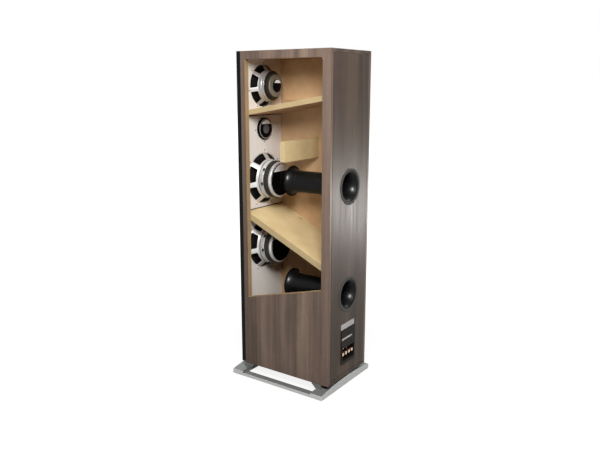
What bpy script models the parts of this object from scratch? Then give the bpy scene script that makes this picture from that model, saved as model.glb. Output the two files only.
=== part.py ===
"""A floorstanding loudspeaker with a display window cut in its right side, as an assembly of pieces.

Metres, +Z up, the front faces -Y. The origin is on the floor, at the middle of the overall box.
Pieces are placed in cabinet coordinates, under an empty at the middle of the cabinet's underside.
"""

import math
from dataclasses import dataclass

import bmesh
import bpy

# Fits
GAP = 0.0003  # clearance between pieces that touch
MITRE_GAP = 0.0002  # taken off each board at a mitred corner
CUT_PAST = 0.010  # how far a cutter runs past the face it leaves by

# Cabinet boards
WIDTH = 0.222
DEPTH = 0.321
HEIGHT = 0.990
PANEL = 0.018
BACK_LIP = 0.011  # what the side panels' rebate leaves showing around the back panel
BAFFLE = 0.0155
BAFFLE_LIFT = 0.003  # the baffle stops this far above the cabinet's underside
BAFFLE_ROUND = 0.003

# Window in the right side panel
WINDOW_FRONT = 0.0165  # panel left in front of it
WINDOW_BACK = 0.028  # panel left behind it
WINDOW_TOP = 0.024  # panel left above it
WINDOW_LOW_FRONT = 0.1555  # its lower edge at the front, below the lower woofer's axis
WINDOW_LOW_BACK = 0.0845  # its lower edge at the back, below the lower woofer's axis
WINDOW_ROUND = 0.009

# Boards inside the cabinet
SHELF = 0.0155
SHELF_DROP = 0.0732  # its top at the baffle, below the midrange's axis
SHELF_RISE = 0.0505  # from the baffle to the back panel
DIVIDER = 0.019
DIVIDER_SPACE = 0.017  # its underside at the baffle, above the lower woofer's hole
DIVIDER_FALL = 0.140  # from the baffle to the back panel
BRACE = 0.017
BRACE_HEIGHT = 0.0615
BRACE_SETBACK = 0.1325  # from the cabinet's front edge
BRACE_LIFT = 0.099  # its middle, above the upper woofer's axis

# Where the drivers sit on the baffle
MIDRANGE_DROP = 0.101  # its axis, below the cabinet's top
TWEETER_SPACE = 0.005  # between the midrange's flange and the tweeter's
WOOFER_SPACE = 0.0085  # between the tweeter's flange and the upper woofer's
WOOFER_PAIR_SPACE = 0.0195  # between the two woofers' flanges


@dataclass(frozen=True)
class ConeDriver:
    """The sizes of a cone driver. Depths run back from the baffle's front face."""

    hole: float  # radius of the baffle hole
    flange_edge: float  # flange past the hole
    flange: float  # thickness
    wall: float
    waist_step: float  # how much narrower the basket's back is than the hole
    waist_depth: float  # where the spokes end
    seat_depth: float  # the basket's back face
    spokes: int
    spoke: float  # width
    spoke_turn: float  # degrees, of the first window's middle
    top_plate_step: float  # narrower than the basket's back
    top_plate: float
    magnet_step: float  # narrower than the top plate
    magnet: float
    yoke_step: float  # narrower than the magnet
    yoke: float
    boss: float  # radius of what stands on the yoke's back
    boss_height: float
    coil: float  # radius
    coil_overhang: float  # coil past the top plate's back
    cone: float  # thickness
    cone_edge_depth: float
    cone_neck_depth: float
    dust_cap_depth: float
    roll_height: float
    spider_rise: float

    @property
    def flange_radius(self):
        return self.hole + self.flange_edge

    @property
    def body_radius(self):
        return self.hole - GAP

    @property
    def waist_radius(self):
        return self.hole - self.waist_step

    @property
    def top_plate_radius(self):
        return self.waist_radius - self.top_plate_step

    @property
    def magnet_radius(self):
        return self.top_plate_radius - self.magnet_step

    @property
    def yoke_radius(self):
        return self.magnet_radius - self.yoke_step

    @property
    def top_plate_back(self):
        return self.seat_depth + GAP + self.top_plate

    @property
    def magnet_back(self):
        return self.top_plate_back + GAP + self.magnet

    @property
    def yoke_back(self):
        return self.magnet_back + GAP + self.yoke


MIDRANGE = ConeDriver(
    hole=0.065,
    flange_edge=0.011,
    flange=0.004,
    wall=0.0025,
    waist_step=0.0185,
    waist_depth=0.033,
    seat_depth=0.044,
    spokes=7,
    spoke=0.012,
    spoke_turn=14,
    top_plate_step=0.001,
    top_plate=0.0085,
    magnet_step=0.008,
    magnet=0.009,
    yoke_step=0.003,
    yoke=0.004,
    boss=0.019,
    boss_height=0.006,
    coil=0.0127,
    coil_overhang=0.002,
    cone=0.0012,
    cone_edge_depth=0.0045,
    cone_neck_depth=0.024,
    dust_cap_depth=0.014,
    roll_height=0.0045,
    spider_rise=0.005,
)

WOOFER = ConeDriver(
    hole=0.083,
    flange_edge=0.0145,
    flange=0.004,
    wall=0.003,
    waist_step=0.022,
    waist_depth=0.034,
    seat_depth=0.0385,
    spokes=7,
    spoke=0.016,
    spoke_turn=14,
    top_plate_step=0.001,
    top_plate=0.0174,
    magnet_step=0.0008,
    magnet=0.0162,
    yoke_step=0.0032,
    yoke=0.0095,
    boss=0.050,
    boss_height=0.003,
    coil=0.0195,
    coil_overhang=0.002,
    cone=0.0015,
    cone_edge_depth=0.0065,
    cone_neck_depth=0.0265,
    dust_cap_depth=0.0145,
    roll_height=0.007,
    spider_rise=0.006,
)

FORMER = 0.0007  # thickness of a voice coil and its former
COIL_GAP = 0.0008  # between the coil and the steel on either side of it
POLE_PROUD = 0.002  # pole in front of the top plate
MAGNET_BORE_GAP = 0.0045  # between the coil and the magnet
SURROUND = 0.0008  # thickness
SURROUND_LAP = 0.0045  # surround glued over the cone's edge
SURROUND_RIM_GAP = 0.003  # flange left bare outside the surround
SPIDER = 0.0006  # thickness
SPIDER_RIPPLE = 0.0012
MAGNET_CAP_ROUND = 0.0008

# Tweeter
TWEETER_HOLE = 0.0345
TWEETER_FLANGE = 0.052
TWEETER_PLATE = 0.004
TWEETER_MOUTH = 0.0175
TWEETER_HUB = 0.006  # length of the faceplate's hub behind its flange
TWEETER_HUB_WALL = 0.004
DOME = 0.0130
DOME_RIM = 0.0165
DOME_HEIGHT = 0.0055
DOME_WALL = 0.0005
DOME_DEPTH = 0.0062  # the dome's rim, behind the baffle's front face
DOME_COIL = 0.0040
DOME_COIL_WALL = 0.0005
DOME_ROOM = 0.0010  # between the dome's rim and the motor
TWEETER_CUP = 0.0025  # wall of the rear cup
TWEETER_MOTOR = 0.0150
TWEETER_CUP_STEP = 0.0055  # how much narrower the cup's raised back is

# Ports
PORT_TUBE = 0.0338
PORT_WALL = 0.0025
PORT_MOUTH = 0.045
PORT_MOUTH_LENGTH = 0.030
PORT_FLANGE = 0.0545
PORT_FLANGE_PROUD = 0.003
PORT_FLANGE_ROUND = 0.0015
PORT_LENGTH = 0.2095
PORT_FLARE = 0.0478
PORT_FLARE_LENGTH = 0.029
LOWER_PORT_DROP = 0.118  # below the lower woofer's axis

# Terminal plate and binding posts
TERMINAL_WIDTH = 0.080
TERMINAL_HEIGHT = 0.111
TERMINAL_BOTTOM = 0.045
TERMINAL_PLATE = 0.0028
TERMINAL_ROUND = 0.003
CUP_WIDTH = 0.069
CUP_HEIGHT = 0.042
CUP_BOTTOM = 0.010  # above the plate's lower edge
CUP_DEPTH = 0.026
CUP_WALL = 0.002
POST_COUNT = 4
POST_SPACING = 0.0175
POST_THREAD = 0.003
POST_COLLAR = 0.0055
POST_COLLAR_HEIGHT = 0.005
POST_TAIL = 0.0025
POST_TAIL_LENGTH = 0.014
POST_WASHER = 0.0012
POST_BORE_GAP = 0.00025
POST_CAP = 0.006
POST_CAP_LENGTH = 0.0165
POST_CAP_ROUND = 0.0008
POST_CAP_LIP = 0.002  # radius of the hole in the cap's end

# Base frame
BASE_HEIGHT = 0.0315
BASE_SIDE_OVERHANG = 0.033
BASE_FRONT_OVERHANG = 0.028
BASE_BACK_INSET = 0.0015
BASE_RAIL = 0.0093  # thickness of the side rails
BASE_RAIL_WIDTH = 0.023
BASE_MEMBER_WIDTH = 0.0385  # of the arched front and back members
BASE_ARCH_GAP = 0.005  # between an arch's crown and the cabinet
BASE_ARCH_END = 0.0135  # height of an arch's ends
BASE_ROUND = 0.003
LUG_WIDTH = 0.026
LUG_PROUD = 0.002  # lug past the cabinet's side
LUG_TOP = 0.034  # along the cabinet's underside
LUG_REACH = 0.020  # how far it leans in from the member's inner edge

# Crossover, on the bottom panel
BOARD_WIDTH = 0.130
BOARD_LENGTH = 0.200
BOARD = 0.004
BASS_COIL_RADIUS = 0.034
BASS_COIL_BORE = 0.014
BASS_COIL_HEIGHT = 0.030
MIDRANGE_COIL_RADIUS = 0.024
MIDRANGE_COIL_BORE = 0.009
MIDRANGE_COIL_HEIGHT = 0.022
BASS_CAPACITOR_RADIUS = 0.016
BASS_CAPACITOR_LENGTH = 0.052
TWEETER_CAPACITOR_RADIUS = 0.010
TWEETER_CAPACITOR_LENGTH = 0.036
PART_SPACE = 0.012  # between the crossover's parts

# Facets
BIG_STEPS = 20
SMALL_STEPS = 16
POST_STEPS = 12
ARC_STEPS = 3

# Places that follow from the sizes
INSIDE = WIDTH / 2 - PANEL
BAFFLE_BACK = -DEPTH / 2 - GAP
BAFFLE_FRONT = BAFFLE_BACK - BAFFLE
BACK_INSIDE = DEPTH / 2 - PANEL
MIDRANGE_Z = HEIGHT - MIDRANGE_DROP
TWEETER_Z = MIDRANGE_Z - MIDRANGE.flange_radius - TWEETER_SPACE - TWEETER_FLANGE
UPPER_WOOFER_Z = TWEETER_Z - TWEETER_FLANGE - WOOFER_SPACE - WOOFER.flange_radius
LOWER_WOOFER_Z = UPPER_WOOFER_Z - 2 * WOOFER.flange_radius - WOOFER_PAIR_SPACE
PORT_HEIGHTS = {"upper_port": UPPER_WOOFER_Z, "lower_port": LOWER_WOOFER_Z - LOWER_PORT_DROP}
PORT_HOLE = PORT_MOUTH + PORT_WALL + GAP
CUP_MIDDLE = TERMINAL_BOTTOM + CUP_BOTTOM + CUP_HEIGHT / 2
CUP_FLOOR = DEPTH / 2 + GAP + TERMINAL_PLATE - CUP_DEPTH
POST_TAIL_HOLE = POST_TAIL + GAP
BACK_PROUD = GAP + max(PORT_FLANGE_PROUD, TERMINAL_PLATE)
BASE_HALF_WIDTH = WIDTH / 2 + BASE_SIDE_OVERHANG
BASE_FRONT = -DEPTH / 2 - BASE_FRONT_OVERHANG
BASE_BACK = DEPTH / 2 - BASE_BACK_INSET
MIDDLE_Y = -(BASE_FRONT + DEPTH / 2 + BACK_PROUD) / 2
FACE_FRONT = (math.pi / 2, 0, 0)  # local +Z to the front, local +Y up
FACE_BACK = (-math.pi / 2, 0, 0)  # local +Z to the back
ACROSS = (math.pi / 2, 0, math.pi / 2)  # local X, Y and Z to world Y, Z and X
SMOOTH_ANGLE = math.radians(35)


def make_collection(name):
    made = bpy.data.collections.new(name)
    bpy.context.scene.collection.children.link(made)
    return made


for leftover in list(bpy.data.objects):
    bpy.data.objects.remove(leftover)
SPEAKER = make_collection("floorstanding_speaker")
CUTTERS = make_collection("cutters")


def finish(name, colour, roughness, metallic):
    made = bpy.data.materials.new(name)
    made.use_nodes = True
    shader = made.node_tree.nodes["Principled BSDF"]
    shader.inputs["Base Color"].default_value = (*colour, 1)
    shader.inputs["Roughness"].default_value = roughness
    shader.inputs["Metallic"].default_value = metallic
    return made


WOOD = finish("walnut_veneer", (0.17, 0.13, 0.11), 0.5, 0)
BLACK_WOOD = finish("black_lacquer", (0.012, 0.012, 0.012), 0.4, 0)
FIBREBOARD = finish("fibreboard", (0.52, 0.36, 0.19), 0.8, 0)
SILVER = finish("silver_metal", (0.62, 0.62, 0.61), 0.35, 1)
STEEL = finish("zinc_steel", (0.45, 0.45, 0.43), 0.3, 1)
FERRITE = finish("ferrite", (0.06, 0.06, 0.055), 0.6, 0)
GLOSS_BLACK = finish("gloss_black", (0.008, 0.008, 0.008), 0.08, 0)
SATIN_BLACK = finish("satin_black", (0.015, 0.015, 0.015), 0.35, 0)
PULP = finish("cone_pulp", (0.03, 0.03, 0.03), 0.7, 0)
RUBBER = finish("surround_rubber", (0.02, 0.02, 0.02), 0.6, 0)
CLOTH = finish("spider_cloth", (0.35, 0.22, 0.08), 0.9, 0)
COPPER = finish("copper", (0.55, 0.24, 0.12), 0.3, 1)
SILK = finish("dome_silk", (0.04, 0.04, 0.045), 0.6, 0)
GOLD = finish("gold_plate", (0.80, 0.55, 0.30), 0.2, 1)
CIRCUIT = finish("circuit_board", (0.03, 0.12, 0.06), 0.5, 0)
FILM = finish("capacitor_film", (0.50, 0.38, 0.05), 0.4, 0)


def close_mesh(mesh):
    """Welds loose caps and points every face outwards."""
    work = bmesh.new()
    work.from_mesh(mesh)
    bmesh.ops.remove_doubles(work, verts=work.verts, dist=0.00001)
    bmesh.ops.recalc_face_normals(work, faces=work.faces)
    work.to_mesh(mesh)
    work.free()
    return mesh


def baked(source):
    """The evaluated mesh of a curve, or of an object with modifiers."""
    bpy.context.scene.collection.objects.link(source)
    graph = bpy.context.evaluated_depsgraph_get()
    mesh = bpy.data.meshes.new_from_object(source.evaluated_get(graph))
    bpy.data.objects.remove(source)
    return close_mesh(mesh)


def block(size):
    """A box of this size about its middle."""
    work = bmesh.new()
    bmesh.ops.create_cube(work, size=1)
    bmesh.ops.scale(work, vec=size, verts=work.verts)
    mesh = bpy.data.meshes.new("block")
    work.to_mesh(mesh)
    work.free()
    return mesh


def rod(radius, length, steps):
    """A cylinder along local Z about its middle."""
    work = bmesh.new()
    bmesh.ops.create_cone(
        work, cap_ends=True, segments=steps, radius1=radius, radius2=radius, depth=length
    )
    mesh = bpy.data.meshes.new("rod")
    work.to_mesh(mesh)
    work.free()
    return smooth(mesh)


def smooth(mesh):
    mesh.shade_smooth()
    mesh.set_sharp_from_angle(angle=SMOOTH_ANGLE)
    return mesh


def extruded(outlines, thickness):
    """An outline, with any holes after it, given a thickness along local Z about its plane."""
    curve = bpy.data.curves.new("outline", "CURVE")
    curve.dimensions = "2D"
    curve.fill_mode = "BOTH"
    curve.extrude = thickness / 2
    for outline in outlines:
        spline = curve.splines.new("POLY")
        spline.points.add(len(outline) - 1)
        for point, (across, up) in zip(spline.points, outline):
            point.co = (across, up, 0, 1)
        spline.use_cyclic_u = True
    return baked(bpy.data.objects.new("outline", curve))


def turned(profile, steps, ring=True):
    """A profile of (radius, height) points turned about local Z. It runs down its outer side, and a ring's
    last point joins its first."""
    mesh = bpy.data.meshes.new("profile")
    edges = [(i, i + 1) for i in range(len(profile) - 1)]
    if ring:
        edges.append((len(profile) - 1, 0))
    mesh.from_pydata([(radius, 0, height) for radius, height in profile], edges, [])
    source = bpy.data.objects.new("profile", mesh)
    screw = source.modifiers.new("Turn", "SCREW")
    screw.steps = steps
    screw.render_steps = steps
    screw.use_merge_vertices = True
    screw.merge_threshold = 0.00001
    return smooth(baked(source))


def ring_profile(inner, outer, top, bottom):
    return [(outer, top), (outer, bottom), (inner, bottom), (inner, top)]


def rounded(corners):
    """An outline from (x, y, radius) corners, with each rounded corner as an arc."""
    outline = []
    for index, (x, y, radius) in enumerate(corners):
        if not radius:
            outline.append((x, y))
            continue
        before = corners[index - 1]
        after = corners[(index + 1) % len(corners)]
        start = math.atan2(before[1] - y, before[0] - x)
        end = math.atan2(after[1] - y, after[0] - x)
        half = ((end - start + math.pi) % (2 * math.pi) - math.pi) / 2
        reach = radius / math.sin(abs(half))
        middle = start + half
        centre = (x + reach * math.cos(middle), y + reach * math.sin(middle))
        sweep = math.copysign(math.pi / 2 - abs(half), half)
        for step in range(ARC_STEPS + 1):
            angle = middle + math.pi + sweep - 2 * sweep * step / ARC_STEPS
            outline.append((centre[0] + radius * math.cos(angle), centre[1] + radius * math.sin(angle)))
    return outline


def rounded_rectangle(left, right, bottom, top, radius):
    return rounded(
        [(left, bottom, radius), (right, bottom, radius), (right, top, radius), (left, top, radius)]
    )


def flare(start, end, start_height, end_height):
    """Points of a trumpet's wall, which leaves the start along the axis and opens to the end."""
    points = []
    for step in range(ARC_STEPS + 1):
        angle = math.pi / 2 * step / ARC_STEPS
        radius = start + (end - start) * (1 - math.cos(angle))
        points.append((radius, start_height + (end_height - start_height) * math.sin(angle)))
    return points


def anchor(name, parent=None, location=(0, 0, 0), rotation=(0, 0, 0)):
    empty = bpy.data.objects.new(name, None)
    SPEAKER.objects.link(empty)
    empty.parent = parent
    empty.location = location
    empty.rotation_euler = rotation
    return empty


def piece(name, mesh, look, parent, location=(0, 0, 0), rotation=(0, 0, 0)):
    made = bpy.data.objects.new(name, mesh)
    SPEAKER.objects.link(made)
    mesh.materials.clear()
    mesh.materials.append(look)
    made.parent = parent
    made.location = location
    made.rotation_euler = rotation
    return made


def cutter(name, mesh, parent, location=(0, 0, 0), rotation=(0, 0, 0)):
    made = bpy.data.objects.new(name, mesh)
    CUTTERS.objects.link(made)
    made.hide_render = True
    made.display_type = "WIRE"
    made.parent = parent
    made.location = location
    made.rotation_euler = rotation
    return made


def combine(target, tool, operation):
    change = target.modifiers.new(tool.name, "BOOLEAN")
    change.operation = operation
    change.solver = "EXACT"
    change.object = tool


def cut(target, tool):
    combine(target, tool, "DIFFERENCE")


def weld(target, tool):
    combine(target, tool, "UNION")


# Cabinet boards
def wrapped_board(name, outline, cabinet):
    """A mitred board of the cabinet's wrap, given as its section seen from the front."""
    return piece(name, extruded([outline], DEPTH), WOOD, cabinet, rotation=FACE_FRONT)


def side_outline(side):
    return [
        (side * WIDTH / 2, MITRE_GAP),
        (side * WIDTH / 2, HEIGHT - MITRE_GAP),
        (side * INSIDE, HEIGHT - PANEL - MITRE_GAP),
        (side * INSIDE, PANEL + MITRE_GAP),
    ]


def lid_outline(outer, inner):
    half_outer = WIDTH / 2 - MITRE_GAP
    half_inner = INSIDE - MITRE_GAP
    return [(-half_outer, outer), (half_outer, outer), (half_inner, inner), (-half_inner, inner)]


def window_outline():
    front = -DEPTH / 2 + WINDOW_FRONT
    back = DEPTH / 2 - WINDOW_BACK
    return rounded(
        [
            (front, LOWER_WOOFER_Z - WINDOW_LOW_FRONT, 0),
            (back, LOWER_WOOFER_Z - WINDOW_LOW_BACK, 0),
            (back, HEIGHT - WINDOW_TOP, WINDOW_ROUND),
            (front, HEIGHT - WINDOW_TOP, 0),
        ]
    )


def build_wrap(cabinet):
    left = wrapped_board("left_side_panel", side_outline(-1), cabinet)
    right = wrapped_board("right_side_panel", side_outline(1), cabinet)
    top = wrapped_board("top_panel", lid_outline(HEIGHT, HEIGHT - PANEL), cabinet)
    bottom = wrapped_board("bottom_panel", lid_outline(0, PANEL), cabinet)
    rebate_depth = PANEL + GAP
    rebate = cutter(
        "back_rebate",
        block((WIDTH - 2 * BACK_LIP, rebate_depth + CUT_PAST, HEIGHT - 2 * BACK_LIP)),
        cabinet,
        (0, DEPTH / 2 + (CUT_PAST - rebate_depth) / 2, HEIGHT / 2),
    )
    for board in (left, right, top, bottom):
        cut(board, rebate)
    window = cutter(
        "side_window",
        extruded([window_outline()], PANEL + 2 * CUT_PAST),
        cabinet,
        (WIDTH / 2 - PANEL / 2, 0, 0),
        ACROSS,
    )
    cut(right, window)


def build_back(cabinet):
    back = piece(
        "back_panel",
        block((WIDTH - 2 * (BACK_LIP + GAP), PANEL, HEIGHT - 2 * (BACK_LIP + GAP))),
        WOOD,
        cabinet,
        (0, DEPTH / 2 - PANEL / 2, HEIGHT / 2),
    )
    for name, height in PORT_HEIGHTS.items():
        hole = rod(PORT_HOLE, PANEL + 2 * CUT_PAST, BIG_STEPS)
        cut(back, cutter(name + "_hole", hole, cabinet, (0, DEPTH / 2 - PANEL / 2, height), FACE_BACK))
    cup_outside = CUP_WALL + GAP
    hole = block((CUP_WIDTH + 2 * cup_outside, PANEL + 2 * CUT_PAST, CUP_HEIGHT + 2 * cup_outside))
    cut(back, cutter("terminal_hole", hole, cabinet, (0, DEPTH / 2 - PANEL / 2, CUP_MIDDLE)))


def build_baffle(cabinet):
    half = WIDTH / 2
    plan = rounded(
        [
            (-half, BAFFLE_FRONT, BAFFLE_ROUND),
            (half, BAFFLE_FRONT, BAFFLE_ROUND),
            (half, BAFFLE_BACK, 0),
            (-half, BAFFLE_BACK, 0),
        ]
    )
    baffle = piece(
        "front_baffle",
        extruded([plan], HEIGHT - BAFFLE_LIFT),
        BLACK_WOOD,
        cabinet,
        (0, 0, (HEIGHT + BAFFLE_LIFT) / 2),
    )
    openings = {
        "midrange": (MIDRANGE_Z, MIDRANGE.hole, MIDRANGE.flange_radius, MIDRANGE.flange),
        "tweeter": (TWEETER_Z, TWEETER_HOLE, TWEETER_FLANGE, TWEETER_PLATE),
        "upper_woofer": (UPPER_WOOFER_Z, WOOFER.hole, WOOFER.flange_radius, WOOFER.flange),
        "lower_woofer": (LOWER_WOOFER_Z, WOOFER.hole, WOOFER.flange_radius, WOOFER.flange),
    }
    for name, (height, hole, flange, rebate) in openings.items():
        profile = [
            (0, CUT_PAST),
            (flange + GAP, CUT_PAST),
            (flange + GAP, -rebate - GAP),
            (hole, -rebate - GAP),
            (hole, -BAFFLE - CUT_PAST),
            (0, -BAFFLE - CUT_PAST),
        ]
        opening = turned(profile, BIG_STEPS, ring=False)
        cut(baffle, cutter(name + "_opening", opening, cabinet, (0, BAFFLE_FRONT, height), FACE_FRONT))


def sloping_board(name, front_top, front_bottom, climb, cabinet):
    """A board between the side panels, from the baffle to the back panel, climbing to the back."""
    front = BAFFLE_BACK + GAP
    back = BACK_INSIDE - GAP
    outline = [
        (front, front_bottom),
        (back, front_bottom + climb),
        (back, front_top + climb),
        (front, front_top),
    ]
    return piece(name, extruded([outline], 2 * (INSIDE - GAP)), FIBREBOARD, cabinet, rotation=ACROSS)


def build_inner_boards(cabinet):
    run = BACK_INSIDE - BAFFLE_BACK - 2 * GAP
    shelf_top = MIDRANGE_Z - SHELF_DROP
    shelf_bottom = shelf_top - SHELF * math.hypot(run, SHELF_RISE) / run
    sloping_board("midrange_shelf", shelf_top, shelf_bottom, SHELF_RISE, cabinet)
    divider_bottom = LOWER_WOOFER_Z + WOOFER.hole + DIVIDER_SPACE
    divider_top = divider_bottom + DIVIDER * math.hypot(run, DIVIDER_FALL) / run
    sloping_board("bass_divider", divider_top, divider_bottom, -DIVIDER_FALL, cabinet)
    piece(
        "cross_brace",
        block((2 * (INSIDE - GAP), BRACE, BRACE_HEIGHT)),
        FIBREBOARD,
        cabinet,
        (0, -DEPTH / 2 + BRACE_SETBACK + BRACE / 2, UPPER_WOOFER_Z + BRACE_LIFT),
    )


# Base frame
def above_arch_outline():
    """What is cut away above the frame, seen from the front: its lower edge arches from side to side."""
    rise = BASE_HEIGHT - BASE_ARCH_GAP - BASE_ARCH_END
    radius = (BASE_HALF_WIDTH**2 + rise**2) / (2 * rise)
    half_angle = math.asin(BASE_HALF_WIDTH / radius)
    past = BASE_HALF_WIDTH + CUT_PAST
    outline = [(past, -BASE_HEIGHT + BASE_ARCH_END), (past, CUT_PAST)]
    outline += [(-past, CUT_PAST), (-past, -BASE_HEIGHT + BASE_ARCH_END)]
    steps = 3 * ARC_STEPS
    for step in range(steps + 1):
        angle = half_angle * (2 * step / steps - 1)
        height = -BASE_ARCH_GAP - radius * (1 - math.cos(angle))
        outline.append((radius * math.sin(angle), height))
    return outline


def lug_outline(inner_edge, inwards):
    """A lug seen from the side. It stands in a member and leans in under the cabinet."""
    root = -BASE_HEIGHT + BASE_RAIL - BASE_ROUND
    start = inner_edge - inwards * BASE_ROUND
    top = inner_edge + inwards * LUG_REACH
    outline = []
    for step in range(ARC_STEPS + 1):
        share = step / ARC_STEPS
        bow = LUG_REACH / 10 * math.sin(math.pi * share)
        across = start + (top - start) * share - inwards * bow
        outline.append((across, root * (1 - share) - GAP * share))
    outline.append((top - inwards * LUG_TOP, -GAP))
    outline.append((top - inwards * LUG_TOP, root))
    return outline


def build_base(cabinet):
    half_inside = BASE_HALF_WIDTH - BASE_RAIL_WIDTH
    front_inside = BASE_FRONT + BASE_MEMBER_WIDTH
    back_inside = BASE_BACK - BASE_MEMBER_WIDTH
    outside = rounded_rectangle(-BASE_HALF_WIDTH, BASE_HALF_WIDTH, BASE_FRONT, BASE_BACK, BASE_ROUND)
    inside = rounded_rectangle(-half_inside, half_inside, front_inside, back_inside, BASE_ROUND)
    blank = BASE_HEIGHT - BASE_ARCH_GAP / 2
    frame = piece("base_frame", extruded([outside], blank), SILVER, cabinet, (0, 0, -BASE_HEIGHT + blank / 2))
    cut(frame, cutter("base_opening", extruded([inside], 3 * BASE_HEIGHT), cabinet))
    above = extruded([above_arch_outline()], 2 * DEPTH)
    cut(frame, cutter("base_arch", above, cabinet, rotation=FACE_FRONT))
    # The rails are cut down between the members
    rail_run = back_inside - front_inside - 2 * BASE_ROUND
    over_rails = block((2 * (BASE_HALF_WIDTH + CUT_PAST), rail_run, 2 * BASE_HEIGHT))
    rails_middle = (0, (front_inside + back_inside) / 2, BASE_RAIL)
    cut(frame, cutter("base_rails", over_rails, cabinet, rails_middle))
    for name, inner_edge, inwards in (("front", front_inside, 1), ("back", back_inside, -1)):
        for side in (-1, 1):
            lug = extruded([lug_outline(inner_edge, inwards)], LUG_WIDTH)
            middle = side * (WIDTH / 2 + LUG_PROUD - LUG_WIDTH / 2)
            weld(frame, cutter(name + "_lug", lug, cabinet, (middle, 0, 0), ACROSS))


# Cone drivers
def basket_mesh(size):
    body = size.body_radius
    waist = size.waist_radius
    floor = -size.seat_depth + size.wall
    bore = size.coil + FORMER + COIL_GAP + size.wall
    profile = [
        (size.flange_radius, 0),
        (size.flange_radius, -size.flange),
        (body, -size.flange),
        (body, -BAFFLE),
        (waist, -size.waist_depth),
        (waist, -size.seat_depth),
        (bore, -size.seat_depth),
        (bore, floor),
        (waist - size.wall, floor),
        (waist - size.wall, -size.waist_depth),
        (body - size.wall, -BAFFLE),
        (body - size.wall, 0),
    ]
    return turned(profile, BIG_STEPS)


def basket_windows(size):
    """Wedges between the spokes, all around the basket."""
    pitch = 2 * math.pi / size.spokes
    inner = size.waist_radius - 2 * size.wall
    outer = size.body_radius + size.wall
    wedges = []
    for index in range(size.spokes):
        turn = math.radians(size.spoke_turn) + index * pitch
        corners = []
        for radius, side in ((inner, -1), (outer, -1), (outer, 1), (inner, 1)):
            half = radius * math.tan(pitch / 2) - size.spoke / 2 / math.cos(pitch / 2)
            corners.append(
                (
                    radius * math.cos(turn) - side * half * math.sin(turn),
                    radius * math.sin(turn) + side * half * math.cos(turn),
                )
            )
        wedges.append(corners)
    return extruded(wedges, size.waist_depth - BAFFLE - size.wall)


def yoke_mesh(size, boss):
    """The back plate with its pole, and a boss on its back where there is one."""
    pole = size.coil - FORMER - COIL_GAP
    profile = [
        (0, -size.seat_depth + POLE_PROUD),
        (pole, -size.seat_depth + POLE_PROUD),
        (pole, -size.magnet_back - GAP),
        (size.yoke_radius, -size.magnet_back - GAP),
        (size.yoke_radius, -size.yoke_back),
    ]
    if boss:
        profile.append((size.boss, -size.yoke_back))
        profile.append((size.boss, -size.yoke_back - size.boss_height))
        profile.append((0, -size.yoke_back - size.boss_height))
    else:
        profile.append((0, -size.yoke_back))
    return turned(profile, BIG_STEPS, ring=False)


def magnet_cap_mesh(size):
    front = -size.yoke_back - GAP
    back = front - size.boss_height
    profile = [
        (0, front),
        (size.boss, front),
        (size.boss, back + 2 * MAGNET_CAP_ROUND),
        (size.boss - MAGNET_CAP_ROUND, back + MAGNET_CAP_ROUND),
        (0, back),
    ]
    return turned(profile, BIG_STEPS, ring=False)


def cone_radius(size):
    """The cone's outer radius: the surround's roll is as wide as twice its height."""
    return size.body_radius - size.wall - 2 * size.roll_height - GAP


def cone_mesh(size):
    edge = cone_radius(size)
    neck = size.coil + GAP
    cap = neck + 3 * size.cone
    slope = (size.cone_neck_depth - size.cone_edge_depth) / (edge - neck)
    cap_depth = size.cone_neck_depth - slope * (cap - neck)
    profile = [
        (0, -size.dust_cap_depth),
        (cap / 2, -size.dust_cap_depth - (cap_depth - size.dust_cap_depth) / 4),
        (cap, -cap_depth),
        (edge, -size.cone_edge_depth),
        (edge, -size.cone_edge_depth - size.cone),
        (neck + size.cone, -size.cone_neck_depth - size.cone),
        (neck, -size.cone_neck_depth - size.cone),
        (neck, -cap_depth - size.cone),
        (0, -size.dust_cap_depth - size.cone),
    ]
    return turned(profile, BIG_STEPS, ring=False)


def coil_mesh(size):
    top = -size.cone_neck_depth
    end = -size.top_plate_back - size.coil_overhang
    return turned(ring_profile(size.coil - FORMER, size.coil, top, end), SMALL_STEPS)


def surround_mesh(size):
    """A half roll between the cone's edge and the flange, glued over both."""
    inner = cone_radius(size) + GAP
    outer = size.body_radius - size.wall
    low = -size.cone_edge_depth + GAP
    middle = (inner + outer) / 2
    front = [(inner - SURROUND_LAP, low + SURROUND)]
    back = [(inner - SURROUND_LAP, low)]
    for step in range(ARC_STEPS + 1):
        angle = math.pi * step / ARC_STEPS
        base = low + (GAP - low) * step / ARC_STEPS
        for path, inset in ((front, 0), (back, SURROUND)):
            width = (outer - inner) / 2 - inset
            height = (size.roll_height - inset) * math.sin(angle) + SURROUND - inset
            path.append((middle - width * math.cos(angle), base + height))
    rim = size.flange_radius - SURROUND_RIM_GAP
    front.append((rim, GAP + SURROUND))
    back.append((rim, GAP))
    return turned(front + back[::-1], BIG_STEPS)


def spider_mesh(size):
    """A rippled disc from the voice coil to the basket's floor."""
    inner = size.coil + GAP
    outer = size.waist_radius - 2 * size.wall
    low = -size.seat_depth + size.wall + GAP
    heights = [low + size.spider_rise, low + size.spider_rise / 2 + SPIDER_RIPPLE, low]
    front = []
    back = []
    for step, height in enumerate(heights):
        radius = inner + (outer - inner) * step / (len(heights) - 1)
        front.append((radius, height + SPIDER))
        back.append((radius, height))
    return turned(front + back[::-1], BIG_STEPS)


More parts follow.
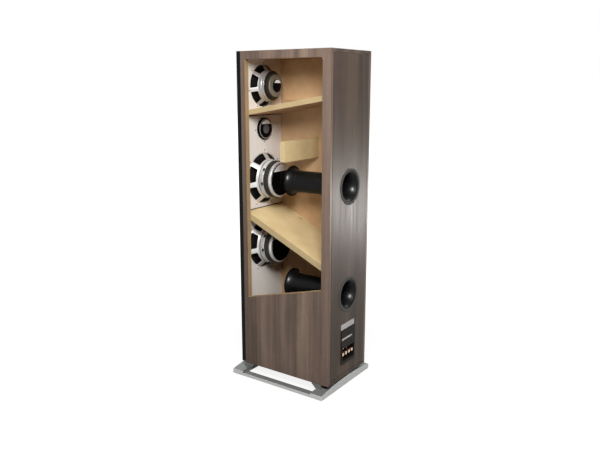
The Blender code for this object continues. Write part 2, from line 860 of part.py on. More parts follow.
def build_cone_driver(name, size, height, capped, cabinet):
    axis = anchor(name + "_axis", cabinet, (0, BAFFLE_FRONT, height), FACE_FRONT)
    bore = size.coil + FORMER + COIL_GAP
    top_plate = ring_profile(
        bore, size.top_plate_radius, -size.seat_depth - GAP, -size.top_plate_back
    )
    magnet = ring_profile(
        size.coil + MAGNET_BORE_GAP,
        size.magnet_radius,
        -size.top_plate_back - GAP,
        -size.magnet_back,
    )
    basket = piece(name + "_basket", basket_mesh(size), SILVER, axis)
    window_depth = (BAFFLE + size.waist_depth) / 2
    cut(basket, cutter(name + "_windows", basket_windows(size), axis, (0, 0, -window_depth)))
    piece(name + "_top_plate", turned(top_plate, BIG_STEPS), STEEL, axis)
    piece(name + "_magnet", turned(magnet, BIG_STEPS), FERRITE, axis)
    piece(name + "_yoke", yoke_mesh(size, boss=not capped), STEEL, axis)
    if capped:
        piece(name + "_magnet_cap", magnet_cap_mesh(size), GLOSS_BLACK, axis)
    piece(name + "_cone", cone_mesh(size), PULP, axis)
    piece(name + "_voice_coil", coil_mesh(size), COPPER, axis)
    piece(name + "_surround", surround_mesh(size), RUBBER, axis)
    piece(name + "_spider", spider_mesh(size), CLOTH, axis)


# Tweeter
def build_tweeter(cabinet):
    axis = anchor("tweeter_axis", cabinet, (0, BAFFLE_FRONT, TWEETER_Z), FACE_FRONT)
    body = TWEETER_HOLE - GAP
    hub_end = -TWEETER_PLATE - TWEETER_HUB
    faceplate = [
        (TWEETER_FLANGE, 0),
        (TWEETER_FLANGE, -TWEETER_PLATE),
        (body, -TWEETER_PLATE),
        (body, hub_end),
        (body - TWEETER_HUB_WALL, hub_end),
        (body - TWEETER_HUB_WALL, -TWEETER_PLATE),
        (TWEETER_MOUTH, -TWEETER_PLATE),
        (TWEETER_MOUTH, -TWEETER_PLATE / 2),
        (TWEETER_MOUTH + TWEETER_PLATE, 0),
    ]
    piece("tweeter_faceplate", turned(faceplate, BIG_STEPS), SATIN_BLACK, axis)

    crown = -DOME_DEPTH + DOME_HEIGHT
    shoulder = -DOME_DEPTH + DOME_HEIGHT * 0.6
    coil_end = -DOME_DEPTH - DOME_COIL
    dome = [
        (0, crown),
        (DOME * 0.6, shoulder),
        (DOME, -DOME_DEPTH),
        (DOME_RIM, -DOME_DEPTH),
        (DOME_RIM, -DOME_DEPTH - DOME_WALL),
        (DOME, -DOME_DEPTH - DOME_WALL),
        (DOME, coil_end),
        (DOME - DOME_COIL_WALL, coil_end),
        (DOME - DOME_COIL_WALL, -DOME_DEPTH - DOME_WALL),
        (DOME * 0.6, shoulder - DOME_WALL),
        (0, crown - DOME_WALL),
    ]
    piece("tweeter_dome", turned(dome, SMALL_STEPS, ring=False), SILK, axis)

    motor_front = -DOME_DEPTH - DOME_WALL - DOME_ROOM
    motor_back = hub_end - GAP - TWEETER_MOTOR + TWEETER_CUP
    motor_radius = body - TWEETER_HUB_WALL - GAP
    groove_end = coil_end - DOME_ROOM
    motor = [
        (0, motor_front),
        (DOME - DOME_COIL_WALL - COIL_GAP, motor_front),
        (DOME - DOME_COIL_WALL - COIL_GAP, groove_end),
        (DOME + COIL_GAP, groove_end),
        (DOME + COIL_GAP, motor_front),
        (motor_radius, motor_front),
        (motor_radius, motor_back),
        (0, motor_back),
    ]
    piece("tweeter_motor", turned(motor, BIG_STEPS, ring=False), STEEL, axis)

    cup_front = hub_end - GAP
    cup_back = motor_back - GAP - TWEETER_CUP
    raised = body - TWEETER_CUP_STEP
    cup = [
        (motor_radius + GAP, cup_front),
        (body, cup_front),
        (body, cup_back + TWEETER_CUP),
        (raised, cup_back + TWEETER_CUP),
        (raised, cup_back),
        (0, cup_back),
    ]
    inside = [(0, motor_back - GAP), (motor_radius + GAP, motor_back - GAP)]
    piece("tweeter_rear_cup", turned(inside + cup, BIG_STEPS, ring=False), GLOSS_BLACK, axis)


# Ports
def build_ports(cabinet):
    proud = GAP + PORT_FLANGE_PROUD
    bore = PORT_TUBE - PORT_WALL
    mouth_end = -PORT_MOUTH_LENGTH
    flare_start = -PORT_LENGTH + PORT_FLARE_LENGTH
    profile = [
        (PORT_FLANGE - PORT_FLANGE_ROUND, proud),
        (PORT_FLANGE, proud - PORT_FLANGE_ROUND),
        (PORT_FLANGE, GAP),
    ]
    profile += flare(PORT_TUBE, PORT_MOUTH + PORT_WALL, mouth_end, GAP)[::-1]
    profile += flare(PORT_TUBE, PORT_FLARE, flare_start, -PORT_LENGTH)
    profile += flare(bore, PORT_FLARE - PORT_WALL, flare_start, -PORT_LENGTH)[::-1]
    profile += flare(bore, PORT_MOUTH, mouth_end, proud)
    for name, height in PORT_HEIGHTS.items():
        piece(name, turned(profile, BIG_STEPS), SATIN_BLACK, cabinet, (0, DEPTH / 2, height), FACE_BACK)


# Terminal plate and binding posts
def build_terminals(cabinet):
    half = TERMINAL_WIDTH / 2
    plate_face = DEPTH / 2 + GAP + TERMINAL_PLATE
    outline = rounded_rectangle(
        -half, half, TERMINAL_BOTTOM, TERMINAL_BOTTOM + TERMINAL_HEIGHT, TERMINAL_ROUND
    )
    cup = piece(
        "terminal_cup",
        extruded([outline], TERMINAL_PLATE),
        SATIN_BLACK,
        cabinet,
        (0, plate_face - TERMINAL_PLATE / 2, 0),
        FACE_FRONT,
    )
    outer_depth = CUP_DEPTH + CUP_WALL - TERMINAL_PLATE / 2
    shell = cutter(
        "cup_shell",
        block((CUP_WIDTH + 2 * CUP_WALL, outer_depth, CUP_HEIGHT + 2 * CUP_WALL)),
        cabinet,
        (0, CUP_FLOOR - CUP_WALL + outer_depth / 2, CUP_MIDDLE),
    )
    weld(cup, shell)
    recess = cutter(
        "cup_recess",
        block((CUP_WIDTH, CUP_DEPTH + CUT_PAST, CUP_HEIGHT)),
        cabinet,
        (0, CUP_FLOOR + (CUP_DEPTH + CUT_PAST) / 2, CUP_MIDDLE),
    )
    cut(cup, recess)
    for index in range(POST_COUNT):
        across = (index - (POST_COUNT - 1) / 2) * POST_SPACING
        build_post(f"post_{index + 1}", across, cup, cabinet)


def build_post(name, across, cup, cabinet):
    axis = anchor(name + "_axis", cabinet, (across, CUP_FLOOR, CUP_MIDDLE), FACE_BACK)
    hole = rod(POST_TAIL_HOLE, CUP_WALL + 2 * CUT_PAST, POST_STEPS)
    cut(cup, cutter(name + "_hole", hole, axis))
    collar = GAP + POST_COLLAR_HEIGHT
    washer_end = collar + GAP + POST_WASHER
    cap_start = washer_end + GAP
    cap_end = cap_start + POST_CAP_LENGTH
    lip = cap_end - POST_CAP_LIP
    stud_end = lip - GAP
    bore = POST_THREAD + POST_BORE_GAP
    stud = [
        (0, stud_end),
        (POST_THREAD, stud_end),
        (POST_THREAD, collar),
        (POST_COLLAR, collar),
        (POST_COLLAR, GAP),
        (POST_TAIL, GAP),
        (POST_TAIL, -POST_TAIL_LENGTH),
        (0, -POST_TAIL_LENGTH),
    ]
    cap = [
        (POST_CAP - POST_CAP_ROUND, cap_end),
        (POST_CAP, cap_end - POST_CAP_ROUND),
        (POST_CAP, cap_start),
        (bore, cap_start),
        (bore, lip),
        (POST_CAP_LIP, lip),
        (POST_CAP_LIP, cap_end),
    ]
    washer = ring_profile(bore, POST_COLLAR, washer_end, collar + GAP)
    piece(name + "_stud", turned(stud, POST_STEPS, ring=False), GOLD, axis)
    piece(name + "_washer", turned(washer, POST_STEPS), GOLD, axis)
    piece(name + "_cap", turned(cap, POST_STEPS), GOLD, axis)


# Crossover
def build_crossover(cabinet):
    board_middle = PANEL + GAP + BOARD / 2
    top = PANEL + GAP + BOARD + GAP
    piece(
        "crossover_board",
        block((BOARD_WIDTH, BOARD_LENGTH, BOARD)),
        CIRCUIT,
        cabinet,
        (0, 0, board_middle),
    )
    left = -BOARD_WIDTH / 2 + PART_SPACE
    front = -BOARD_LENGTH / 2 + PART_SPACE
    back = BOARD_LENGTH / 2 - PART_SPACE
    coils = {
        "bass_inductor": (BASS_COIL_RADIUS, BASS_COIL_BORE, BASS_COIL_HEIGHT, front + BASS_COIL_RADIUS),
        "midrange_inductor": (
            MIDRANGE_COIL_RADIUS,
            MIDRANGE_COIL_BORE,
            MIDRANGE_COIL_HEIGHT,
            back - MIDRANGE_COIL_RADIUS,
        ),
    }
    for name, (radius, bore, height, along) in coils.items():
        coil = turned(ring_profile(bore, radius, height, 0), BIG_STEPS)
        piece(name, coil, COPPER, cabinet, (left + radius, along, top))
    right = BOARD_WIDTH / 2 - PART_SPACE
    capacitors = {
        "bass_capacitor": (BASS_CAPACITOR_RADIUS, BASS_CAPACITOR_LENGTH, front),
        "tweeter_capacitor": (
            TWEETER_CAPACITOR_RADIUS,
            TWEETER_CAPACITOR_LENGTH,
            back - TWEETER_CAPACITOR_LENGTH,
        ),
    }
    for name, (radius, length, start) in capacitors.items():
        place = (right - radius, start + length / 2, top + radius)
        piece(name, rod(radius, length, SMALL_STEPS), FILM, cabinet, place, FACE_BACK)


def main():
    cabinet = anchor("cabinet_underside", location=(0, MIDDLE_Y, BASE_HEIGHT))
    build_wrap(cabinet)
    build_back(cabinet)
    build_baffle(cabinet)
    build_inner_boards(cabinet)
    build_base(cabinet)
    build_cone_driver("midrange", MIDRANGE, MIDRANGE_Z, False, cabinet)
    build_cone_driver("upper_woofer", WOOFER, UPPER_WOOFER_Z, True, cabinet)
    build_cone_driver("lower_woofer", WOOFER, LOWER_WOOFER_Z, True, cabinet)
    build_tweeter(cabinet)
    build_ports(cabinet)
    build_terminals(cabinet)
    build_crossover(cabinet)


main()
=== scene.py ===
"""The looks of a floorstanding loudspeaker with a display window in its right side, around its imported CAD.

Metres, in the CAD's frame: +Z up, the front faces -Y, the origin on the floor at the middle of the box.
"""

from math import acos, asin, atan, cos, pi, radians, sin, sqrt, tan
from types import SimpleNamespace

import bmesh
import bpy
from mathutils import Matrix, Vector


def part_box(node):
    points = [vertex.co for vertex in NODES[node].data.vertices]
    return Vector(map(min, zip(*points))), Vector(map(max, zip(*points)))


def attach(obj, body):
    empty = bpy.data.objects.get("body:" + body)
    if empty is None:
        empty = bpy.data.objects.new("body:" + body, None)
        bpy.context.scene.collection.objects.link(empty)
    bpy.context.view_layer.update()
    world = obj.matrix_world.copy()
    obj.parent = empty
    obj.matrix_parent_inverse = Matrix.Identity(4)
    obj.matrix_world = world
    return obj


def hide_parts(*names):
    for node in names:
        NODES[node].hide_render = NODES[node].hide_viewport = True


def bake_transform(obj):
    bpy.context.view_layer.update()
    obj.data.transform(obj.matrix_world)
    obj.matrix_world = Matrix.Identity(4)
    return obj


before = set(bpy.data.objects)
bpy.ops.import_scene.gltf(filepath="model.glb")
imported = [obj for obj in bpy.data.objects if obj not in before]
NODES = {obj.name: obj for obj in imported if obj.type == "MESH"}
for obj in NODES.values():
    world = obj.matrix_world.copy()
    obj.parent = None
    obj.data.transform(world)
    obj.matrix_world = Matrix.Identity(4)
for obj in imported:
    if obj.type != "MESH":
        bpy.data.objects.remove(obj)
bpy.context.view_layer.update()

# Sizes that the CAD uses
GAP = 0.0003
LIFT = 0.0315
MIDDLE_Y = 0.01235
WIDTH = 0.222
DEPTH = 0.321
HEIGHT = 0.990
PANEL = 0.018
BAFFLE = 0.0155
TERMINAL_PLATE = 0.0028
INSIDE = WIDTH / 2 - PANEL
BACK_FACE = MIDDLE_Y + DEPTH / 2
BAFFLE_BACK = MIDDLE_Y - DEPTH / 2 - GAP
BAFFLE_FRONT = BAFFLE_BACK - BAFFLE
PLATE_FACE = BACK_FACE + GAP + TERMINAL_PLATE
MIDRANGE_Z = LIFT + 0.889
TWEETER_Z = LIFT + 0.756
UPPER_WOOFER_Z = LIFT + 0.598
LOWER_WOOFER_Z = LIFT + 0.3835
LOWER_PORT_Z = LIFT + 0.2655
SHELF_UNDERSIDE = LIFT + 0.8001
DIVIDER_TOP = LIFT + 0.5044
DIVIDER_SLOPE = 0.462

SMOOTH_ANGLE = radians(32)
SEGMENTS = 112


def linear(red, green, blue):
    """A display colour of 0 to 255 as a scene colour."""
    made = []
    for value in (red, green, blue):
        share = value / 255
        made.append(share / 12.92 if share < 0.04045 else ((share + 0.055) / 1.055) ** 2.4)
    return (*made, 1)


def add_node(tree, kind, inputs, **settings):
    """A shader node with its inputs linked to sockets or set to values."""
    made = tree.nodes.new("ShaderNode" + kind)
    for key, value in settings.items():
        setattr(made, key, value)
    for key, value in inputs.items():
        if isinstance(value, bpy.types.NodeSocket):
            tree.links.new(value, made.inputs[key])
        else:
            made.inputs[key].default_value = value
    return made


class Look:
    """A material with a Principled shader, and short ways to add nodes to it. Colours run from 0 to 255."""

    def __init__(self, name, colour, roughness, metallic=0.0):
        self.material = bpy.data.materials.new(name)
        self.material.use_nodes = True
        self.tree = self.material.node_tree
        self.shader = self.tree.nodes["Principled BSDF"]
        self.set("Base Color", linear(*colour))
        self.set("Roughness", roughness)
        self.set("Metallic", metallic)
        coordinates = add_node(self.tree, "TexCoord", {})
        self.place = coordinates.outputs["Object"]
        self.facing = coordinates.outputs["Normal"]

    def set(self, socket, value):
        self.shader.inputs[socket].default_value = value

    def link(self, source, socket):
        self.tree.links.new(source, self.shader.inputs[socket])

    def node(self, kind, inputs, output=0, **settings):
        return add_node(self.tree, kind, inputs, **settings).outputs[output]

    def parts(self, vector):
        """A vector's X, Y and Z: across, along the depth, and up."""
        return add_node(self.tree, "SeparateXYZ", {0: vector}).outputs

    def past(self, part, middle, half):
        """How far a part of a vector lies past a half size on either side of a middle."""
        return self.math("SUBTRACT", self.math("ABSOLUTE", self.math("SUBTRACT", part, middle)), half)

    def noise(self, scale, detail=3.0, roughness=0.5, stretch=None, distortion=0.0):
        place = self.place
        if stretch:
            place = self.node("Mapping", {"Vector": place, "Scale": stretch})
        inputs = {"Vector": place, "Scale": scale, "Detail": detail, "Roughness": roughness}
        inputs["Distortion"] = distortion
        return self.node("TexNoise", inputs)

    def math(self, operation, first, second=0.0, third=None):
        inputs = {0: first, 1: second}
        if third is not None:
            inputs[2] = third
        return self.node("Math", inputs, operation=operation)

    def ramp(self, factor, stops):
        made = add_node(self.tree, "ValToRGB", {0: factor})
        points = made.color_ramp.elements
        while len(points) < len(stops):
            points.new(0.5)
        for point, (position, colour) in zip(points, stops):
            point.position = position
            point.color = colour
        return made.outputs[0]

    def tones(self, factor, dark, light, low=0.35, high=0.65):
        return self.ramp(factor, [(low, linear(*dark)), (high, linear(*light))])

    def levels(self, factor, low, high, to_low, to_high):
        inputs = {"Value": factor, "From Min": low, "From Max": high, "To Min": to_low, "To Max": to_high}
        return self.node("MapRange", inputs)

    def mix(self, factor, first, second):
        inputs = {0: factor, 6: first, 7: second}
        return self.node("Mix", inputs, 2, data_type="RGBA")

    def bump(self, height, strength, distance=0.0003):
        inputs = {"Height": height, "Strength": strength, "Distance": distance}
        self.link(self.node("Bump", inputs), "Normal")

    def finish(self, colour, fine, smooth, rough, bump, specular=None):
        """The material, with its gloss and bump from a fine pattern."""
        self.link(colour, "Base Color")
        self.link(self.levels(fine, 0.3, 0.7, smooth, rough), "Roughness")
        self.bump(fine, bump)
        if specular is not None:
            self.set("Specular IOR Level", specular)
        return self.material


# Light and dark tones of raw board
FIBRE = ((215, 192, 147), (199, 175, 128))
FIBRE_END = ((187, 165, 125), (174, 152, 113))
# Underside tones, darker and redder than the faces: painted shade
FIBRE_UNDERSIDE_SHADE = ((190, 150, 117), (175, 137, 102))
BRACE_END = ((202, 182, 140), (189, 169, 128))
WALL = ((206, 171, 131), (186, 150, 112))
WINDOW_EDGE = ((164, 138, 103), (146, 121, 88))

# Inner boards show their ends further out than this
BOARD_END = INSIDE - GAP - 0.0005

# The parts of a normal past which a face is an underside, or faces the back
UNDERSIDE = -0.5
FACES_BACK = 0.9


def fibre_pattern(look):
    """Pressed fibres: a fine speckle over soft clouds."""
    clouds = look.noise(14, 4, 0.6)
    speckle = look.noise(620, 4, 0.7)
    return look.math("MULTIPLY_ADD", speckle, 0.4, look.math("MULTIPLY", clouds, 0.6))


def fibre_colour(look, pattern, tones):
    light, dark = tones
    return look.tones(pattern, dark, light, 0.36, 0.64)


# Veneer bands as (share of the panel's depth from the front, lightness)
BANDS = (
    (0.0, 0.46), (0.13, 0.36), (0.30, 0.60), (0.44, 0.42), (0.51, 0.54), (0.60, 0.36), (0.73, 0.64),
    (0.88, 0.43), (1.0, 0.52),
)

# Veneer colours, before a panel's own tone, as (place in the spread, colour)
SHADES = (
    (-1.0, (86, 74, 65)), (-0.35, (103, 88, 79)), (0.25, (118, 100, 90)), (1.0, (136, 119, 103)),
)


def veneer_colour(look, tone, spread):
    """Upright walnut grain: broad bands across the panel, fine streaks, pores and a faint cross figure."""
    lean, drift, shift = 0.9, 0.16, 0.18
    across, along, _ = look.parts(look.place)
    wander = look.math("MULTIPLY", look.noise(9, 2, 0.5, (1, 1, 0.16)), drift)
    depth = look.math("ADD", look.math("ADD", along, look.math("MULTIPLY", across, lean)), wander)
    share = look.levels(depth, BAFFLE_BACK + shift, BACK_FACE + shift, 0.0, 1.0)
    bands = look.ramp(share, [(at, (tint, tint, tint, 1)) for at, tint in BANDS])
    streaks = look.noise(105, 4, 0.6, (1, 1, 0.02), 0.2)
    pores = look.noise(650, 3, 0.6, (1, 1, 0.03))
    figure = look.noise(42, 3, 0.6, (0.6, 0.6, 1))
    factor = look.math("MULTIPLY", bands, 0.60)
    for pattern, weight in ((streaks, 0.22), (pores, 0.13), (figure, 0.05)):
        factor = look.math("MULTIPLY_ADD", pattern, weight, factor)
    stops = []
    for at, colour in SHADES:
        toned = [part * strength for part, strength in zip(colour, tone)]
        stops.append((0.5 + spread * at, linear(*toned)))
    return look.ramp(factor, stops), streaks, pores


def outside_mask(look):
    """1 on the cabinet's outer faces, 0 on its inside and in the window's cut edge."""
    edge, groove = 0.0007, 0.004
    across, along, up = look.parts(look.place)
    side = look.past(across, 0.0, WIDTH / 2 - edge)
    back = look.math("SUBTRACT", along, BACK_FACE - groove)
    ends = look.past(up, LIFT + HEIGHT / 2, HEIGHT / 2 - edge)
    furthest = look.math("MAXIMUM", side, look.math("MAXIMUM", back, ends))
    return look.math("GREATER_THAN", furthest, 0.0)


def make_veneer(name, tone, inside, spread=0.11, lying=False):
    """Veneer outside, raw board inside. Lying veneer has its grain along the cabinet's depth, not upright."""
    look = Look(name, (112, 95, 85), 0.45)
    outside = outside_mask(look)
    inside_colour = fibre_colour(look, fibre_pattern(look), inside)
    if lying:
        turn, shift = (pi / 2, 0, pi / 2), (-LIFT - HEIGHT, 0.08, 0)
        inputs = {"Vector": look.place, "Rotation": turn, "Location": shift}
        look.place = look.node("Mapping", inputs)
    grain, fine, pores = veneer_colour(look, tone, spread)
    look.link(look.mix(outside, inside_colour, grain), "Base Color")
    gloss = look.levels(fine, 0.3, 0.7, 0.54, 0.40)
    look.link(look.math("SUBTRACT", 0.85, look.math("MULTIPLY", outside, gloss)), "Roughness")
    look.bump(look.math("ADD", fine, pores), 0.15, 0.0004)
    look.set("Specular IOR Level", 0.08)
    return look.material


def make_fibreboard(name, end_tones):
    """Raw fibreboard. Its undersides have a darker, redder tone that is painted shade, and the ends that it
    shows toward the sides have tones of their own.
    """
    look = Look(name, FIBRE[0], 0.85)
    end = look.math("GREATER_THAN", look.past(look.parts(look.place)[0], 0.0, BOARD_END), 0.0)
    pattern = fibre_pattern(look)
    underside_shade = look.math("LESS_THAN", look.parts(look.facing)[2], UNDERSIDE)
    faces = look.mix(underside_shade, fibre_colour(look, pattern, FIBRE), fibre_colour(look, pattern, FIBRE_UNDERSIDE_SHADE))
    look.link(look.mix(end, faces, fibre_colour(look, pattern, end_tones)), "Base Color")
    look.bump(look.noise(900, 4, 0.7), 0.25)
    look.set("Specular IOR Level", 0.15)
    return look.material


def make_baffle():
    """Black lacquer, and a pale grained face inside the cabinet."""
    look = Look("lacquered_baffle", (20, 20, 20), 0.4)
    skin, border = 0.0007, 0.012
    across, along, _ = look.parts(look.place)
    behind = look.math("GREATER_THAN", along, BAFFLE_BACK - skin)
    between = look.math("LESS_THAN", look.past(across, 0.0, WIDTH / 2 - border), 0.0)
    inside = look.math("MULTIPLY", behind, between)
    grain = look.noise(260, 4, 0.6, (1, 1, 0.05))
    pale = look.tones(grain, (219, 211, 202), (227, 221, 214), 0.3, 0.7)
    black = look.tones(look.noise(600, 3), (12, 12, 12), (24, 24, 23), 0.3, 0.7)
    look.link(look.mix(inside, black, pale), "Base Color")
    look.link(look.math("MULTIPLY_ADD", inside, 0.4, look.levels(grain, 0.3, 0.7, 0.34, 0.44)), "Roughness")
    look.bump(look.noise(800, 2), 0.05)
    look.set("Specular IOR Level", 0.06)
    return look.material


def make_metal(name, light, dark, roughness, grain=420, bump=0.08, metallic=1.0):
    """Plated or cast metal with a little unevenness in its colour and gloss."""
    look = Look(name, light, roughness, metallic)
    fine = look.noise(grain, 3, 0.6)
    tone = look.math("MULTIPLY_ADD", fine, 0.5, look.math("MULTIPLY", look.noise(38, 3), 0.5))
    return look.finish(look.tones(tone, dark, light), fine, roughness - 0.06, roughness + 0.08, bump)


def make_turned(name):
    """Turned silver, darker where it faces the back."""
    look = Look(name, (200, 200, 200), 0.32, 0.62)
    behind = look.math("GREATER_THAN", look.parts(look.facing)[1], FACES_BACK)
    fine = look.noise(700, 3, 0.6)
    silver = look.tones(fine, (182, 182, 182), (198, 198, 198))
    black = look.tones(fine, (52, 47, 41), (64, 58, 51))
    return look.finish(look.mix(behind, silver, black), fine, 0.28, 0.38, 0.05)


def make_base(name):
    """Silver with painted light: bright on the outer edges as a painted highlight, darker on the rest as
    painted shade, and black on top under the cabinet as a painted shadow.
    """
    look = Look(name, (186, 187, 185), 0.5, 0.1)
    half_width, half_depth, middle = 0.1428, 0.1725, -0.0024
    cover_width, cover_depth, cover_height = WIDTH / 2 - 0.002, DEPTH / 2 - 0.001, 0.024
    across, along, up = look.parts(look.place)
    outer = look.math("MAXIMUM", look.past(across, 0.0, half_width), look.past(along, middle, half_depth))
    edge = look.math("GREATER_THAN", outer, 0.0)
    sides = look.math("MAXIMUM", look.past(across, 0.0, cover_width), look.past(along, MIDDLE_Y, cover_depth))
    furthest = look.math("MAXIMUM", sides, look.math("SUBTRACT", cover_height, up))
    painted_shadow_mask = look.math("LESS_THAN", furthest, 0.0)
    fine = look.noise(900, 3, 0.6)
    # The bright and the darker tone are lit and shaded copies of one silver: painted light
    lit_silver = look.tones(fine, (192, 193, 191), (202, 203, 201))
    shaded_silver = look.tones(fine, (106, 108, 105), (115, 117, 114))
    # Black on top where the cabinet covers the base: a painted shadow
    black = look.tones(fine, (24, 23, 21), (31, 30, 28))
    colour = look.mix(edge, look.mix(painted_shadow_mask, shaded_silver, black), lit_silver)
    return look.finish(colour, fine, 0.46, 0.58, 0.04, 0.25)


def make_plain(name, light, dark, roughness, grain=700, bump=0.1, specular=0.5):
    """Moulded plastic, rubber, pulp or cloth."""
    look = Look(name, light, roughness)
    fine = look.noise(grain, 3, 0.6)
    tone = look.math("MULTIPLY_ADD", fine, 0.6, look.math("MULTIPLY", look.noise(45, 3), 0.4))
    smooth, rough = max(roughness - 0.05, 0.02), roughness + 0.05
    return look.finish(look.tones(tone, dark, light), fine, smooth, rough, bump, specular)


def make_winding(name, light, dark, pitch):
    """Turns of enamelled wire: fine rings along the coil's axis."""
    look = Look(name, light, 0.3, 1.0)
    inputs = {"Vector": look.place, "Scale": pitch, "Distortion": 0.4, "Detail": 1.0}
    rings = look.node("TexWave", inputs, 1, bands_direction="Z")
    look.link(look.tones(rings, dark, light, 0.1, 0.7), "Base Color")
    look.link(look.levels(rings, 0.0, 1.0, 0.5, 0.25), "Roughness")
    look.bump(rings, 0.4, 0.0006)
    return look.material


VENEER = make_veneer("walnut_veneer_board", (0.98, 0.975, 0.965), WALL)
WINDOW_VENEER = make_veneer("walnut_veneer_window", (0.965, 0.96, 0.95), WINDOW_EDGE)
TOP_VENEER = make_veneer("walnut_veneer_top", (0.84, 0.82, 0.79), WALL, 0.11, True)
# The back's veneer, also used on the bottom, is toned darker than the sides': painted shade
SHADED_BACK_VENEER = make_veneer("walnut_veneer_back_shaded", (0.675, 0.65, 0.615), WALL, 0.115)
FIBREBOARD = make_fibreboard("raw_fibreboard", FIBRE_END)
BRACE_BOARD = make_fibreboard("brace_fibreboard", BRACE_END)
BAFFLE_LOOK = make_baffle()
BASE_METAL = make_base("base_silver")
CAST = make_metal("cast_basket", (222, 221, 219), (208, 207, 205), 0.36, 700, 0.08, 0.5)
PLATED = make_metal("plated_steel", (226, 226, 225), (214, 213, 212), 0.28, 500, 0.04, 0.5)
BRONZED = make_metal("bronzed_steel", (150, 143, 131), (118, 111, 100), 0.46, 330, 0.12, 0.4)
TURNED = make_turned("turned_silver")
DARK_STEEL = make_metal("blackened_steel", (84, 80, 74), (64, 60, 55), 0.5, 600, 0.06)
FERRITE = make_plain("ferrite", (54, 53, 48), (41, 40, 36), 0.62, 900, 0.2, 0.15)
DARK_FERRITE = make_plain("dark_ferrite", (56, 50, 43), (44, 39, 33), 0.6, 900, 0.2, 0.1)
GLOSS = make_plain("gloss_black", (8, 8, 9), (5, 5, 6), 0.08, 300, 0.01, 0.05)
SATIN = make_plain("satin_black", (19, 19, 19), (14, 14, 14), 0.33, 1400, 0.05, 0.09)
# Grey for the sheen a satin black lip picks up: painted sheen
PAINTED_SHEEN_RIM = make_plain("port_rim", (82, 79, 74), (73, 70, 66), 0.5, 900, 0.06, 0.08)
MOULDED = make_plain("moulded_plate", (32, 28, 23), (26, 23, 19), 0.5, 1600, 0.15, 0.08)
PULP = make_plain("cone_pulp", (18, 14, 14), (11, 9, 9), 0.75, 500, 0.3, 0.1)
RUBBER = make_plain("surround_rubber", (34, 33, 33), (26, 25, 25), 0.55, 900, 0.1)
CLOTH = make_plain("spider_cloth", (168, 132, 78), (128, 96, 52), 0.9, 1800, 0.5)
SILK = make_plain("dome_silk", (52, 52, 56), (38, 38, 42), 0.5, 2600, 0.3)
GOLD = make_metal("gold_plate", (250, 232, 214), (240, 214, 190), 0.2, 900, 0.03)
COPPER = make_winding("copper_winding", (214, 138, 94), (120, 66, 40), 420)
CIRCUIT = make_plain("circuit_board", (52, 96, 66), (38, 76, 52), 0.45, 300, 0.1)
FILM = make_plain("capacitor_film", (196, 166, 62), (170, 140, 46), 0.35, 260, 0.05)
STICKER = make_plain("paper_label", (196, 192, 190), (182, 178, 176), 0.6, 500, 0.05, 0.2)
DISC = make_plain("grey_disc", (98, 94, 96), (84, 80, 82), 0.45, 700, 0.05, 0.15)
# White that stands for light reflected on the gloss caps: painted reflection
PAINTED_REFLECTION = make_plain("painted_reflection_white", (250, 249, 247), (244, 243, 241), 0.35, 700, 0.02, 0.4)
# Dark brown for the shadow in the joints of the sloped boards and the baffle: painted shadow
PAINTED_SHADOW_LINE = make_plain("painted_shadow_line", (62, 42, 26), (44, 29, 18), 0.8, 500, 0.2, 0.1)
MARK = make_plain("plugged_bore", (84, 64, 40), (56, 42, 26), 0.9, 400, 0.2, 0.1)
NUT = make_metal("bronzed_nut", (150, 112, 86), (112, 80, 58), 0.3, 900, 0.03)

move = Matrix.Translation


def spin(angle, axis):
    return Matrix.Rotation(angle, 4, axis)


# Local X to the right as seen from behind, local Y up and local Z to the back
FROM_BEHIND = spin(pi, "Z") @ spin(pi / 2, "X")


def facing_front(height):
    """Local +Z to the front and local +Y up, at a height on the baffle's front."""
    return move((0, BAFFLE_FRONT, height)) @ spin(pi / 2, "X")


def facing_back(height, across=0.0, along=BACK_FACE):
    """Local +Z to the back and local +Y down."""
    return move((across, along, height)) @ spin(-pi / 2, "X")


def add_object(name, data):
    made = bpy.data.objects.new(name, data)
    bpy.context.scene.collection.objects.link(made)
    return made


def shade(mesh):
    mesh.shade_smooth()
    mesh.set_sharp_from_angle(angle=SMOOTH_ANGLE)


def add_piece(name, mesh, look, node=None, body="cabinet"):
    """Puts a finished mesh, in the CAD's frame, on a CAD body, in place of a CAD node if one is named."""
    made = add_object(name, mesh)
    mesh.name = name
    mesh.materials.clear()
    mesh.materials.append(look)
    if body:
        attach(made, body)
    if node:
        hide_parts(node)
    return made


def shares(steps):
    """Even steps from 0 to 1."""
    return [step / steps for step in range(steps + 1)]


def softened(profile, steps=4):
    """Rounds a profile's corners that carry a third number, their radius."""
    points = []
    for index, corner in enumerate(profile):
        if len(corner) == 2:
            points.append(corner)
            continue
        here = Vector(corner[:2])
        before = (Vector(profile[index - 1][:2]) - here).normalized()
        after = (Vector(profile[(index + 1) % len(profile)][:2]) - here).normalized()
        half = acos(max(-1.0, min(1.0, before.dot(after)))) / 2
        middle = here + (before + after).normalized() * (corner[2] / sin(half))
        reach = corner[2] / tan(half)
        start = here + before * reach - middle
        end = here + after * reach - middle
        for share in shares(steps):
            points.append(tuple(middle + start.lerp(end, share).normalized() * corner[2]))
    return points


